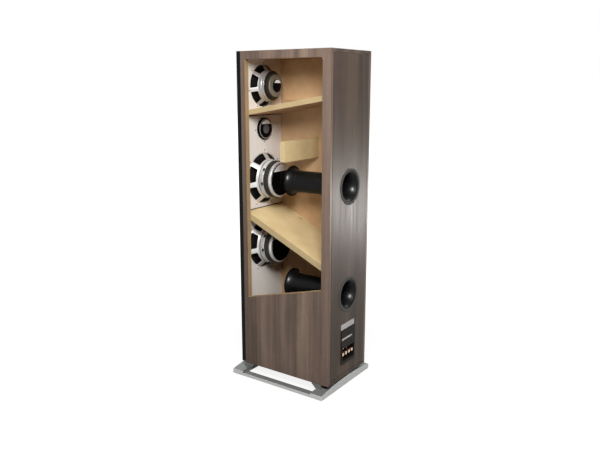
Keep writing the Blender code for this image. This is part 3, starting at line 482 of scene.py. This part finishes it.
def lathe_mesh(profile, place, segments=SEGMENTS, grip=None):
    """A closed profile of (radius, height) turned about local Z and put in place.

    A profile may start and end on the axis. grip(angle, radius) may give a changed radius.
    """
    work = bmesh.new()
    rows = []
    for radius, height in profile:
        if radius < 1e-7:
            rows.append([work.verts.new(place @ Vector((0, 0, height)))] * segments)
            continue
        row = []
        for step in range(segments):
            angle = 2 * pi * step / segments
            out = grip(angle, radius) if grip else radius
            row.append(work.verts.new(place @ Vector((out * cos(angle), out * sin(angle), height))))
        rows.append(row)
    for upper, lower in zip(rows, rows[1:] + rows[:1]):
        for step in range(segments):
            after = (step + 1) % segments
            corners = [upper[step], lower[step], lower[after], upper[after]]
            unique = list(dict.fromkeys(corners))
            if len(unique) > 2:
                work.faces.new(unique)
    return finished_mesh(work)


def finished_mesh(work):
    bmesh.ops.recalc_face_normals(work, faces=work.faces)
    mesh = bpy.data.meshes.new("piece")
    work.to_mesh(mesh)
    work.free()
    shade(mesh)
    return mesh


def joined_mesh(meshes):
    """Several meshes as one."""
    work = bmesh.new()
    for mesh in meshes:
        work.from_mesh(mesh)
        bpy.data.meshes.remove(mesh)
    return finished_mesh(work)


def turned(name, profile, place, look, node=None, body="cabinet", segments=SEGMENTS):
    mesh = lathe_mesh(softened(profile), place, segments)
    return add_piece(name, mesh, look, node, body)


def raised_mesh(outline, thickness):
    """An outline in local X and Y, filled and raised from height 0 to its thickness."""
    work = bmesh.new()
    face = work.faces.new([work.verts.new((across, up, 0)) for across, up in outline])
    lifted = bmesh.ops.extrude_face_region(work, geom=[face])["geom"]
    moved = [item for item in lifted if isinstance(item, bmesh.types.BMVert)]
    bmesh.ops.translate(work, verts=moved, vec=(0, 0, thickness))
    return finished_mesh(work)


def plate_mesh(left, right, bottom, top, thickness, radius):
    """A plate with rounded corners."""
    corners = (
        ((right - radius, bottom + radius), -90),
        ((right - radius, top - radius), 0),
        ((left + radius, top - radius), 90),
        ((left + radius, bottom + radius), 180),
    )
    outline = []
    for centre, start in corners:
        for step in range(6):
            angle = radians(start + 18 * step)
            outline.append((centre[0] + radius * cos(angle), centre[1] + radius * sin(angle)))
    return raised_mesh(outline, thickness)


def add_painted_reflection(driver, radius, level, depth, place):
    """A pale patch on a driver's back, above a level line at a share of its radius: a painted reflection on
    the gloss.
    """
    patch_thickness, sunk = 0.0006, 0.0002
    start = asin(level)
    angles = [start + (pi - 2 * start) * share for share in shares(36)]
    outline = [(radius * cos(angle), radius * sin(angle)) for angle in angles]
    mesh = raised_mesh(outline, patch_thickness)
    mesh.transform(place @ move((0, 0, -depth - sunk)))
    add_piece(driver + "_painted_reflection", mesh, PAINTED_REFLECTION)


def add_bevel(obj, width, angle):
    bevel = obj.modifiers.new("Edges", "BEVEL")
    bevel.width = width
    bevel.segments = 2
    bevel.limit_method = "ANGLE"
    bevel.angle_limit = radians(angle)
    return bevel


def dress_node(node, look, width):
    """Gives a CAD node its material and, as it is shown, rounded edges. Its own mesh stays as it is."""
    obj = NODES[node]
    weld = obj.modifiers.new("Join", "WELD")
    weld.merge_threshold = 0.00002
    add_bevel(obj, width, 30).harden_normals = True
    obj.data.materials.clear()
    obj.data.materials.append(look)


# The cabinet, its inner boards, the base, the terminal cup and the circuit board keep their CAD solids
dress_node("left_side_panel", VENEER, 0.0007)
dress_node("right_side_panel", WINDOW_VENEER, 0.0007)
dress_node("top_panel", TOP_VENEER, 0.0007)
dress_node("bottom_panel", SHADED_BACK_VENEER, 0.0007)
dress_node("back_panel", SHADED_BACK_VENEER, 0.0018)
dress_node("midrange_shelf", FIBREBOARD, 0.0009)
dress_node("bass_divider", FIBREBOARD, 0.0009)
dress_node("cross_brace", BRACE_BOARD, 0.0009)
dress_node("front_baffle", BAFFLE_LOOK, 0.0006)
dress_node("base_frame", BASE_METAL, 0.0008)
dress_node("terminal_cup", MOULDED, 0.0006)
dress_node("crossover_board", CIRCUIT, 0.0004)


# Driver sizes as (woofer, midrange). Depths run back from the baffle's front face, plates are
# (radius, front, back), and angles are in degrees.
DRIVER_SIZES = {
    "hole": (0.083, 0.065),
    "flange": (0.0975, 0.076),
    "wall": (0.003, 0.0025),
    "waist": (0.061, 0.0465),
    "waist_depth": (0.034, 0.033),
    "seat": (0.0385, 0.044),
    "spokes": (7, 7),
    "spoke": (0.016, 0.012),
    "turn": (14, 14),
    "bore": (0.024, 0.0167),
    "coil": (0.0195, 0.0127),
    "cone": (0.0654, 0.0529),
    "edge": (0.0065, 0.0045),
    "neck": (0.0265, 0.024),
    "cap": (0.0145, 0.014),
    "cone_wall": (0.0015, 0.0012),
    "roll": (0.007, 0.0045),
    "lap": (0.0045, 0.0045),
    "rise": (0.006, 0.005),
    "top_plate": ((0.060, 0.0388, 0.0562), (0.0455, 0.0443, 0.0528)),
    "magnet": ((0.0592, 0.0565, 0.0727), (0.0375, 0.0531, 0.0621)),
    "yoke": ((0.056, 0.0730, 0.0825), (0.0345, 0.0624, 0.0664)),
    "screw_circle": (0.0900, 0.0705),
}
WOOFER = SimpleNamespace(**{key: pair[0] for key, pair in DRIVER_SIZES.items()})
MIDRANGE = SimpleNamespace(**{key: pair[1] for key, pair in DRIVER_SIZES.items()})


def basket_mesh(size, place):
    """A cast basket: a revolved shell with windows between its spokes, with its flange and its floor."""
    sectors = size.spokes
    across_window, across_spoke = 10, 6
    flange_end, sleeve_end = -0.004, -0.010
    corner, narrowing = 0.16, 0.16
    flange, hole, waist = size.flange, size.hole - GAP, size.waist
    waist_start, seat = -size.waist_depth, -size.seat
    window_top, window_end = -BAFFLE + 0.0008, waist_start + 0.0018

    def wall_radius(height):
        if height > -BAFFLE:
            return hole
        share = (-BAFFLE - height) / (size.waist_depth - BAFFLE)
        return hole + (waist - hole) * share

    rows = [(flange, 0.0), (flange, flange_end), (hole, flange_end), (hole, sleeve_end)]
    first_window_row = len(rows)
    levels = [0, 0.02, 0.07, 0.14, 0.3, 0.5, 0.7, 0.86, 0.93, 0.98, 1]
    for share in levels:
        height = window_top + (window_end - window_top) * share
        rows.append((wall_radius(height), height))
    last_window_row = len(rows) - 1
    rows += [
        (waist + 0.0002, waist_start - 0.0004), (waist, waist_start - 0.0012), (waist, seat + 0.0014),
        (waist - 0.0005, seat + 0.0005), (waist - 0.0014, seat), (size.bore, seat),
    ]
    work = bmesh.new()
    grid = []
    for index, (radius, height) in enumerate(rows):
        inner_index = min(max(index, first_window_row), last_window_row)
        share = levels[inner_index - first_window_row]
        window_radius = rows[inner_index][0]
        half = pi / sectors - asin(size.spoke / 2 / window_radius)
        nearest_end = min(share, 1 - share)
        if nearest_end < corner:
            half -= narrowing * half * (1 - sqrt(1 - ((corner - nearest_end) / corner) ** 2))
        row = []
        for sector in range(sectors):
            middle = radians(size.turn) + 2 * pi * sector / sectors
            angles = [middle - half + 2 * half * step / across_window for step in range(across_window)]
            spoke_half = pi / sectors - half
            angles += [middle + half + 2 * spoke_half * step / across_spoke for step in range(across_spoke)]
            for angle in angles:
                row.append(work.verts.new((radius * cos(angle), radius * sin(angle), height)))
        grid.append(row)
    per_sector = across_window + across_spoke
    count = sectors * per_sector
    for index, (upper, lower) in enumerate(zip(grid, grid[1:])):
        in_window = first_window_row <= index < last_window_row
        for step in range(count):
            if in_window and step % per_sector < across_window:
                continue
            after = (step + 1) % count
            work.faces.new((upper[step], lower[step], lower[after], upper[after]))
    source = add_object("basket", finished_mesh(work))
    solid = source.modifiers.new("Wall", "SOLIDIFY")
    solid.thickness = size.wall
    solid.offset = -1
    add_bevel(source, 0.0006, 40)
    graph = bpy.context.evaluated_depsgraph_get()
    mesh = bpy.data.meshes.new_from_object(source.evaluated_get(graph))
    bpy.data.objects.remove(source)
    mesh.transform(place)
    shade(mesh)
    return mesh


def surround_mesh(size, place):
    """A rubber roll between the cone's edge and the basket's flange."""
    inner = size.cone + GAP
    outer = size.hole - GAP - size.wall
    low = -size.edge + GAP
    middle = (inner + outer) / 2
    thickness = 0.0008
    front = [(inner - size.lap, low + thickness)]
    back = [(inner - size.lap, low)]
    for share in shares(16):
        angle = pi * share
        base = low + (GAP - low) * share
        for path, inset in ((front, 0), (back, thickness)):
            width = (outer - inner) / 2 - inset
            height = (size.roll - inset) * sin(angle) + thickness - inset
            path.append((middle - width * cos(angle), base + height))
    rim = size.flange - 0.003
    front.append((rim, GAP + thickness))
    back.append((rim, GAP))
    return lathe_mesh(front + back[::-1], place)


def spider_mesh(size, place):
    """A rippled cloth disc between the coil and the basket's floor."""
    inner = size.coil + GAP
    outer = size.waist - 2 * size.wall
    low = -size.seat + size.wall + GAP
    ripples, swing, foot, thickness = 5, 0.0009, 0.001, 0.0006
    front = []
    back = []
    for share in shares(30):
        radius = inner + (outer - inner) * share
        ripple = swing * sin(share * ripples * 2 * pi) * min(1, 8 * share, 8 * (1 - share))
        height = low + foot * min(1, 6 * (1 - share)) + (size.rise - foot) * (1 - share) + ripple
        front.append((radius, height + thickness))
        back.append((radius, height))
    return lathe_mesh(front + back[::-1], place, 80)


SCREW = [
    (0, 0.0002), (0.0014, 0.0002), (0.0016, -0.0004), (0.0020, -0.0004), (0.0024, 0.0003),
    (0.0036, 0.0002), (0.0038, -0.0002), (0.0017, -0.0020), (0.0017, -0.0165), (0, -0.0192),
]


def add_screws(driver, count, circle, place, turn):
    """All of a driver's screws as one piece, between its windows. Their tips come through the baffle."""
    screws = []
    for index in range(count):
        angle = 2 * pi * (index + 0.5) / count + radians(turn)
        spot = place @ move((circle * cos(angle), circle * sin(angle), GAP))
        screws.append(lathe_mesh(SCREW, spot, 20))
    add_piece(driver + "_screws", joined_mesh(screws), DARK_STEEL)


def add_lugs(driver, radius, depth, place):
    """Two connection lugs on the edge of the front plate."""
    half_width, half_length, thickness, corner, sunk = 0.0028, 0.0042, 0.0036, 0.0008, 0.0012
    lugs = []
    for turn in (35, -8):
        lug = plate_mesh(-half_width, half_width, -half_length, half_length, thickness, corner)
        stand = spin(radians(turn), "Z") @ move((radius - sunk, 0, -depth))
        lug.transform(place @ stand @ spin(pi / 2, "Y"))
        lugs.append(lug)
    add_piece(driver + "_lugs", joined_mesh(lugs), SATIN)


def add_motor(driver, size, place, capped):
    """The front plate, the magnet and the back plate behind the basket.

    A capped motor has a dark ring sunk in a groove of its front plate, a gloss cap and lugs, the other one a
    boss.
    """
    radius, front, back = size.top_plate
    bore = size.coil + 0.0015
    corner, groove, groove_depth, play = 0.0006, 0.0060, 0.0024, 0.0002
    rim = [(radius, -front, corner)]
    if capped:
        rim = [
            (radius - groove, -front),
            (radius - groove, -front - groove_depth),
            (radius, -front - groove_depth, corner),
        ]
    profile = [*rim, (radius, -back, corner), (bore, -back), (bore, -front)]
    look = PLATED if capped else TURNED
    turned(driver + "_front_plate", profile, place, look, driver + "_top_plate")
    if capped:
        outer, inner, end = radius - GAP, radius - groove + play, -front - groove_depth + play
        groove_ring = [(outer, -front), (outer, end), (inner, end), (inner, -front)]
        turned(driver + "_groove_ring", groove_ring, place, RUBBER)

    radius, front, back = size.magnet
    bore = size.coil + 0.0045
    corner = 0.0009
    profile = [(radius, -front, corner), (radius, -back, corner), (bore, -back), (bore, -front)]
    look = FERRITE if capped else DARK_FERRITE
    turned(driver + "_ferrite_ring", profile, place, look, driver + "_magnet")

    radius, front, back = size.yoke
    pole, pole_top = size.coil - 0.0015, -size.seat + 0.002
    profile = [
        (0, pole_top), (pole, pole_top, 0.0006), (pole, -front), (radius, -front, 0.0008),
        (radius, -back, 0.0012),
    ]
    if capped:
        profile.append((0, -back))
        look = PLATED
    else:
        boss, boss_start = 0.0188, -back - 0.0002
        profile += [(boss, -back), (boss, boss_start), (0, boss_start)]
        look = BRONZED
    turned(driver + "_back_plate", profile, place, look, driver + "_yoke")
    if capped:
        add_magnet_cap(driver, back + GAP, place)
        add_lugs(driver, size.top_plate[0], size.top_plate[2] - 0.0030, place)
    else:
        boss_height = 0.0060
        profile = [
            (0, boss_start), (boss - 0.0002, boss_start), (boss + 0.0002, -back - 0.0010),
            (boss + 0.0002, -back - 0.0040), (boss - 0.0008, -back - 0.0056, 0.0012),
            (0, -back - boss_height),
        ]
        turned(driver + "_boss_cap", profile, place, GLOSS)
        # A painted reflection on the boss cap
        add_painted_reflection(driver, boss - 0.0010, 0.50, back + boss_height, place)


def add_magnet_cap(driver, start, place):
    """A gloss cap, very lightly domed, with a rounded shoulder."""
    radius, shoulder, height, dome = 0.0500, 0.0012, 0.0030, 0.0003
    crown = -start - height
    profile = [(0, -start), (radius, -start), (radius, crown + dome + shoulder)]
    for share in shares(6)[1:]:
        angle = pi / 2 * share
        across = radius - shoulder * (1 - cos(angle))
        profile.append((across, crown + dome + shoulder * (1 - sin(angle))))
    for share in shares(12)[-2::-1]:
        profile.append(((radius - shoulder) * share, crown + dome * share**2))
    turned(driver + "_dome_cap", profile, place, GLOSS, driver + "_magnet_cap")
    # A painted reflection on the dome cap
    add_painted_reflection(driver, radius - shoulder, 0.57, start + height, place)


def add_moving_parts(driver, size, place):
    """The cone with its dust cap and the coil, on the diaphragm's body, and the surround and spider between
    them and the basket.
    """
    moving = driver + "_diaphragm"
    neck = size.coil + GAP
    wall = size.cone_wall
    cap = neck + 3 * wall
    slope = (size.neck - size.edge) / (size.cone - neck)
    cap_depth = size.neck - slope * (cap - neck)
    steps, bulge = shares(8), 0.0012
    profile = []
    for share in steps:
        profile.append((cap * share, -size.cap - (cap_depth - size.cap) * share**2))
    for share in steps[1:]:
        bow = bulge * sin(pi * share)
        radius = cap + (size.cone - cap) * share
        profile.append((radius, -cap_depth + (cap_depth - size.edge) * share - bow))
    for share in steps[::-1]:
        bow = bulge * sin(pi * share)
        radius = neck + wall + (size.cone - neck - wall) * share
        profile.append((radius, -size.neck - wall + (size.neck - size.edge) * share - bow))
    profile += [(neck, -size.neck - wall), (neck, -cap_depth - wall), (0, -size.cap - wall)]
    turned(driver + "_pulp_cone", profile, place, PULP, driver + "_cone", moving)

    top = -size.neck
    end = -size.top_plate[2] - 0.002
    coil = size.coil
    former, inside = coil - 0.0002, coil - 0.0007
    profile = [
        (former, top), (former, end + 0.010), (coil, end + 0.0096), (coil, end), (inside, end),
        (inside, top),
    ]
    turned(driver + "_wound_coil", profile, place, COPPER, driver + "_voice_coil", moving, 80)

    mesh = surround_mesh(size, place)
    roll = add_piece(driver + "_rubber_roll", mesh, RUBBER, driver + "_surround", None)
    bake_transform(roll)

    mesh = spider_mesh(size, place)
    spider = add_piece(driver + "_rippled_spider", mesh, CLOTH, driver + "_spider", None)
    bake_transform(spider)


def add_cone_driver(driver, size, height, capped):
    place = facing_front(height)
    mesh = basket_mesh(size, place)
    look = CAST if capped else TURNED
    add_piece(driver + "_cast_basket", mesh, look, driver + "_basket")
    add_motor(driver, size, place, capped)
    add_moving_parts(driver, size, place)
    add_screws(driver, size.spokes, size.screw_circle, place, size.turn)


add_cone_driver("midrange", MIDRANGE, MIDRANGE_Z, False)
add_cone_driver("upper_woofer", WOOFER, UPPER_WOOFER_Z, True)
add_cone_driver("lower_woofer", WOOFER, LOWER_WOOFER_Z, True)


def add_tweeter():
    place = facing_front(TWEETER_Z)
    body = 0.0345 - GAP
    flange, throat, flange_end, hub_end = 0.052, 0.0175, -0.004, -0.010
    profile = [
        (flange, 0, 0.0008), (flange, flange_end, 0.0004), (body, flange_end), (body, hub_end),
        (body - 0.004, hub_end), (body - 0.004, flange_end), (throat, flange_end),
        (throat, -0.002, 0.0005), (0.0215, 0, 0.001),
    ]
    turned("tweeter_moulded_faceplate", profile, place, SATIN, "tweeter_faceplate")

    # The dome with its roll, its rim and its coil, and back along its inside
    dome, rise, crown, sweep = 0.0130, 0.0055, -0.0007, radians(58)
    profile = []
    for share in shares(10):
        angle = sweep * share
        fall = (1 - cos(angle)) / (1 - cos(sweep))
        profile.append((dome * sin(angle) / sin(sweep), crown - rise * fall))
    profile += [(0.0140, -0.0055), (0.0152, -0.0054), (0.0161, -0.0060), (0.0165, -0.0062), (0.0165, -0.0067)]
    profile += [(dome, -0.0067), (dome, -0.0102), (0.0125, -0.0102), (0.0125, -0.0067)]
    profile += [(0.0078, -0.0034), (0, -0.0012)]
    turned("tweeter_silk_dome", profile, place, SILK, "tweeter_dome", "tweeter_diaphragm", 72)

    motor, motor_front, motor_back, gap_floor = body - 0.004 - GAP, -0.0077, -0.0228, -0.0112
    profile = [
        (0, motor_front), (0.0117, motor_front, 0.0003), (0.0117, gap_floor), (0.0138, gap_floor),
        (0.0138, motor_front, 0.0003), (motor, motor_front, 0.0006), (motor, motor_back, 0.0006),
        (0, motor_back),
    ]
    turned("tweeter_steel_motor", profile, place, PLATED, "tweeter_motor")

    shoulder, cup_end = -0.0231, -0.0256
    profile = [
        (0, shoulder), (motor + GAP, shoulder), (motor + GAP, hub_end - GAP), (body, hub_end - GAP),
        (body, shoulder, 0.0012), (body - 0.0055, shoulder), (body - 0.0055, cup_end, 0.0010),
        (0, cup_end),
    ]
    turned("tweeter_gloss_cup", profile, place, GLOSS, "tweeter_rear_cup")
    inner, outer, low, high = body - 0.0052, body - 0.0036, -0.0232, -0.0240
    profile = [(inner, low), (inner, high, 0.0002), (outer, high, 0.0002), (outer, low)]
    turned("tweeter_trim_ring", profile, place, PLATED)
    disc, low, high = 0.0150, -0.0257, -0.0260
    profile = [(0, low), (disc, low), (disc, high, 0.0001), (0, high)]
    turned("tweeter_blank_disc", profile, place, DISC, segments=64)
    # A painted reflection on the gloss cup
    add_painted_reflection("tweeter", body - 0.0067, 0.55, -cup_end, place)
    add_screws("tweeter", 4, 0.0420, place, 41)


add_tweeter()


def flare(start, end, start_height, end_height, steps=14):
    """A quarter of an ellipse from one (radius, height) to another."""
    points = []
    for share in shares(steps):
        angle = pi / 2 * share
        radius = start + (end - start) * (1 - cos(angle))
        points.append((radius, start_height + (end_height - start_height) * sin(angle)))
    return points


def add_port(port, height):
    """A port whose mouth flares out to a thin lip on the back panel, with a grey ring on the lip whose grey
    is a painted sheen.
    """
    proud = 0.0016
    tube, wall, panel_hole, lip, ring, flare_end = 0.0338, 0.0025, 0.0475, 0.0530, 0.0460, 0.0478
    mouth_start, flare_start, inner_end = -0.030, -0.1805, -0.2095
    bell = flare(tube - wall, lip, mouth_start, proud, 28)
    profile = [(lip, proud), (lip + 0.0009, proud - 0.0003)]
    profile += [(lip + 0.0015, proud - 0.0009), (lip + 0.0015, GAP)]
    profile += flare(tube, panel_hole, mouth_start, GAP)[::-1]
    # A raised seam where the flared end is joined to the tube
    profile += [(tube, -0.060), (tube, flare_start + 0.0024), (tube + 0.0008, flare_start + 0.0016)]
    profile += [(tube + 0.0008, flare_start + 0.0006), (tube, flare_start - 0.0002)]
    profile += flare(tube, flare_end, flare_start - 0.0006, inner_end + 0.0006)[:-1]
    profile += [(flare_end, inner_end + 0.0005), (flare_end - 0.0004, inner_end)]
    profile += flare(tube - wall, flare_end - wall, flare_start, inner_end)[::-1]
    profile += bell[:-1]
    turned(port + "_moulding", profile, facing_back(height), SATIN, port)
    # The grey ring on the lip is a painted sheen
    rim = [(lip + 0.0017, GAP), (lip + 0.0017, proud - 0.0008), (lip + 0.0010, proud)]
    rim += [(radius, level + 0.0002) for radius, level in bell[::-1] if radius > ring]
    rim += [(ring, -0.0004), (panel_hole + 0.0005, GAP)]
    turned(port + "_rim", rim, facing_back(height), PAINTED_SHEEN_RIM)


add_port("upper_port", UPPER_WOOFER_Z)
add_port("lower_port", LOWER_PORT_Z)


def knurl(angle, radius):
    """Grooves around a nut's grip, the only part this wide."""
    grip, grooves, depth = 0.00594, 18, 0.0004
    return radius - depth * (0.5 + 0.5 * cos(grooves * angle)) if radius > grip else radius


def add_post(index):
    """A binding post in the terminal cup's recess: its stud, its washer and its knurled cap."""
    post = f"post_{index + 1}"
    row_height, pitch, recess = 0.076, 0.0175, 0.026
    place = facing_back(LIFT + row_height, (index - 1.5) * pitch, PLATE_FACE - recess)
    collar, washer_end, rod, disc, bore = 0.0053, 0.0068, 0.003, 0.0055, 0.00325
    start = washer_end + GAP
    end = start + 0.0165
    lip = end - 0.002
    stud = [
        (0, lip - 0.0003), (rod, lip - 0.0003, 0.0005), (rod, collar), (disc, collar, 0.0006),
        (disc, GAP), (0.0025, GAP), (0.0025, -0.014, 0.0005), (0, -0.014),
    ]
    turned(post + "_threaded_stud", stud, place, GOLD, post + "_stud", segments=40)
    washer = [
        (disc, washer_end, 0.0002), (disc, collar + GAP, 0.0002), (bore, collar + GAP),
        (bore, washer_end),
    ]
    clamp = post + "_clamp"
    turned(post + "_plated_washer", washer, place, GOLD, post + "_washer", clamp, 40)
    face_inner, face_outer = 0.002, 0.0046
    nut = [
        (face_outer, end), (0.0056, end - 0.0004), (0.0059, end - 0.0012), (0.0059, end - 0.0030),
        (0.0054, end - 0.0034), (0.0054, end - 0.0042), (0.00595, end - 0.0046),
        (0.00595, start + 0.0014), (0.0056, start + 0.0006), (0.0050, start), (bore, start),
        (bore, lip), (face_inner, lip), (face_inner, end),
    ]
    mesh = lathe_mesh(nut, place, 108, knurl)
    add_piece(post + "_knurled_nut", mesh, NUT, post + "_cap", post + "_nut")
    inner, low, high, corner = face_inner + 0.0001, end - 0.0002, end + 0.0002, 0.0001
    face = [(face_outer, low), (face_outer, high, corner), (inner, high, corner), (inner, low)]
    turned(post + "_bright_face", face, place, GOLD, None, post + "_nut", 40)


for post_index in range(4):
    add_post(post_index)


def add_strip(name, sides, heights, thickness, radius, along, look):
    """A plate on an upright face that looks to the back. Its sides are as seen from behind."""
    mesh = plate_mesh(*sides, *heights, thickness, radius)
    mesh.transform(move((0, along, 0)) @ FROM_BEHIND)
    add_piece(name, mesh, look)


# A blank label above the terminal plate, and a light bar on it
LABEL, BAR = (LIFT + 0.158, LIFT + 0.176), (LIFT + 0.1255, LIFT + 0.1310)
add_strip("back_label", (-0.040, 0.037), LABEL, 0.0004, 0.001, BACK_FACE + 0.00002, STICKER)
add_strip("terminal_bar", (-0.039, 0.021), BAR, 0.0005, 0.001, PLATE_FACE, STICKER)

# Dark strips where the sloped boards meet the baffle: a painted shadow in the joints
SEAM, SHADOW_LINE_SIZE = INSIDE - 0.0005, 0.0022
for shadow_line, foot in (("shelf_shadow_line", SHELF_UNDERSIDE - SHADOW_LINE_SIZE), ("divider_shadow_line", DIVIDER_TOP - 0.001)):
    add_strip(shadow_line, (-SEAM, SEAM), (foot, foot + SHADOW_LINE_SIZE), SHADOW_LINE_SIZE, 0.0008, BAFFLE_BACK, PAINTED_SHADOW_LINE)


def add_plug():
    """A plugged bore in the divider."""
    tilt = spin(-atan(DIVIDER_SLOPE), "X")
    spot = move((-0.076, MIDDLE_Y - 0.070, LIFT + 0.4626)) @ tilt
    plug, floor = 0.0060, -0.0004
    profile = [(0, -0.002), (plug, -0.002), (plug, 0.0001)]
    profile += [(0.0046, 0.0002, 0.0001), (0.0040, floor), (0, floor)]
    turned("divider_plugged_bore", profile, spot, MARK, segments=40)


add_plug()


# Crossover
for inductor, bore_radius in (("bass_inductor", 0.014), ("midrange_inductor", 0.009)):
    low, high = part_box(inductor)
    centre = (low + high) / 2
    outer_radius = (high.x - low.x) / 2
    spool = move((centre.x, centre.y, low.z))
    depth = high.z - low.z
    coil_profile = [
        (outer_radius, depth, 0.003), (outer_radius, 0, 0.003), (bore_radius, 0), (bore_radius, depth),
    ]
    turned(inductor + "_winding", coil_profile, spool, COPPER, inductor)
for capacitor in ("bass_capacitor", "tweeter_capacitor"):
    low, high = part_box(capacitor)
    centre = (low + high) / 2
    outer_radius = (high.x - low.x) / 2
    dish_radius, rim_radius, dish = outer_radius * 0.8, outer_radius * 0.86, 0.001
    length = high.y - low.y
    can = move((centre.x, low.y, centre.z)) @ spin(-pi / 2, "X")
    can_profile = [
        (0, length - dish), (dish_radius, length - dish), (rim_radius, length),
        (outer_radius, length, 0.001), (outer_radius, 0, 0.001), (rim_radius, 0), (dish_radius, dish),
        (0, dish),
    ]
    turned(capacitor + "_can", can_profile, can, FILM, capacitor, segments=64)


# Floor, light and camera
def seen_directly(tree):
    """1 for camera, glossy and transmission rays, 0 for the rest."""
    path = add_node(tree, "LightPath", {}).outputs
    value = path["Is Camera Ray"]
    for kind in ("Is Glossy Ray", "Is Transmission Ray"):
        value = add_node(tree, "Math", {0: value, 1: path[kind]}, operation="MAXIMUM").outputs[0]
    return value


def mix_shaders(tree, share, first, second, output):
    """Ends a node tree in a mix of two shaders."""
    mixed = add_node(tree, "MixShader", {0: share, 1: first.outputs[0], 2: second.outputs[0]})
    add_node(tree, output, {"Surface": mixed.outputs[0]})


def add_floor():
    """A pale floor that keeps the object's shadow and fades to white away from it."""
    work = bmesh.new()
    bmesh.ops.create_grid(work, x_segments=2, y_segments=2, size=14)
    mesh = bpy.data.meshes.new("studio_floor")
    work.to_mesh(mesh)
    work.free()
    floor = add_object("studio_floor", mesh)
    material = bpy.data.materials.new("studio_floor")
    material.use_nodes = True
    tree = material.node_tree
    tree.nodes.clear()
    diffuse = add_node(tree, "BsdfDiffuse", {"Color": (0.4, 0.4, 0.4, 1)})
    glow = add_node(tree, "Emission", {"Strength": 1.25})
    place = add_node(tree, "TexCoord", {}).outputs["Object"]
    distance = add_node(tree, "VectorMath", {0: place}, operation="LENGTH").outputs["Value"]
    inputs = {"Value": distance, "From Min": 0.45, "From Max": 1.2, "To Min": 0.70, "To Max": 0.96}
    fade = add_node(tree, "MapRange", inputs).outputs[0]
    share = add_node(tree, "Math", {0: seen_directly(tree), 1: fade}, operation="MULTIPLY")
    mix_shaders(tree, share.outputs[0], diffuse, glow, "OutputMaterial")
    mesh.materials.append(material)


def add_world(ambient_strength):
    """A faint even light, and white where it is seen directly."""
    world = bpy.data.worlds.new("studio")
    bpy.context.scene.world = world
    world.use_nodes = True
    tree = world.node_tree
    tree.nodes.clear()
    ambient, white = (
        add_node(tree, "Background", {"Color": (1, 1, 1, 1), "Strength": strength})
        for strength in (ambient_strength, 1.0)
    )
    mix_shaders(tree, seen_directly(tree), ambient, white, "OutputWorld")


def add_lamp(name, azimuth, elevation, distance, target, size, level):
    """A soft lamp. Its azimuth runs from +X to +Y, and level 1 shows a white it faces as white."""
    turn, rise = radians(azimuth), radians(elevation)
    away = Vector((cos(rise) * cos(turn), cos(rise) * sin(turn), sin(rise)))
    data = bpy.data.lights.new(name, "AREA")
    data.shape = "RECTANGLE"
    data.size, data.size_y = size
    data.energy = level * pi**2 * distance**2
    lamp = add_object(name, data)
    lamp.location = Vector(target) + away * distance
    lamp.rotation_euler = (-away).to_track_quat("-Z", "Y").to_euler()
    lamp.visible_camera = False
    return lamp


def light_only(lamp, names):
    """Lets a lamp light only these objects."""
    group = bpy.data.collections.new(lamp.name + "_on")
    for name in names:
        group.objects.link(NODES.get(name) or bpy.data.objects[name])
    lamp.light_linking.receiver_collection = group


def add_bounce(name, elevation, target, size, energy):
    """Light thrown back onto the left wall from a plane inside a chamber."""
    lamp = add_lamp(name, 0, elevation, 0.001, target, size, 1)
    lamp.data.energy = energy
    lamp.visible_glossy = False
    light_only(lamp, ["left_side_panel"])


def add_camera():
    """The photograph's viewpoint, fitted to the cabinet's edges."""
    azimuth, pitch = radians(124.911), radians(12.286)
    place, lens, sensor = (1.62622, 1.12707, 0.92276), 38.553, 36
    level = cos(pitch)
    forward = Vector((-sin(azimuth) * level, cos(azimuth) * level, -sin(pitch)))
    data = bpy.data.cameras.new("camera")
    data.sensor_width = sensor
    data.lens = lens
    camera = add_object("camera", data)
    camera.location = place
    camera.rotation_euler = forward.to_track_quat("-Z", "Y").to_euler()
    bpy.context.scene.camera = camera


add_floor()
add_world(0.01)

# Azimuth, elevation, distance, target, size and level of each lamp
MIDDLE = (0, 0, 0.55)
add_lamp("key", 36, 31.5, 1.6, MIDDLE, (0.42, 0.42), 0.87)
add_lamp("high", 5, 55, 3.2, MIDDLE, (0.9, 0.9), 0.30)
add_lamp("camera_side", 60, 30, 3.2, MIDDLE, (0.9, 0.9), 0.28)
add_lamp("front_fill", -105, 30, 3.4, MIDDLE, (1.8, 1.8), 0.62)
add_lamp("left_fill", 175, 30, 3.4, MIDDLE, (1.8, 1.8), 0.52)

# Lamps for single pieces: a sheen on the back, a glow on the side, sparks on the ports, light inside
sheen = add_lamp("back_sheen", 150, -10.6, 1.9, (0, BACK_FACE, 0.58), (0.5, 0.22), 0.57)
sheen.data.color = (1, 0.985, 0.95)
sheen.visible_diffuse = False
light_only(sheen, ["back_panel", "left_side_panel", "right_side_panel"])
glow = add_lamp("side_glow", 0, 4, 0.55, (WIDTH / 2, MIDDLE_Y, LIFT + 0.86), (0.3, 0.12), 0.24)
light_only(glow, ["right_side_panel"])
spark = add_lamp("port_spark", 30, 30, 3.0, MIDDLE, (0.55, 0.55), 4.3)
spark.visible_diffuse = False
light_only(spark, ["upper_port_moulding", "lower_port_moulding"])
ABOVE_SHELF = (-0.0215, MIDDLE_Y - 0.005, LIFT + 0.8445)
add_bounce("shelf_bounce", -90, ABOVE_SHELF, (0.14, 0.27), 0.095)
CHAMBER_HEIGHT = (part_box("bass_divider")[1][2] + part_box("midrange_shelf")[0][2]) / 2
BEHIND_WINDOW = (WIDTH / 2 - 0.02, MIDDLE_Y, CHAMBER_HEIGHT)
add_bounce("chamber_bounce", 0, BEHIND_WINDOW, (0.25, 0.16), 0.1)

add_camera()
bpy.context.scene.view_settings.view_transform = "Standard"
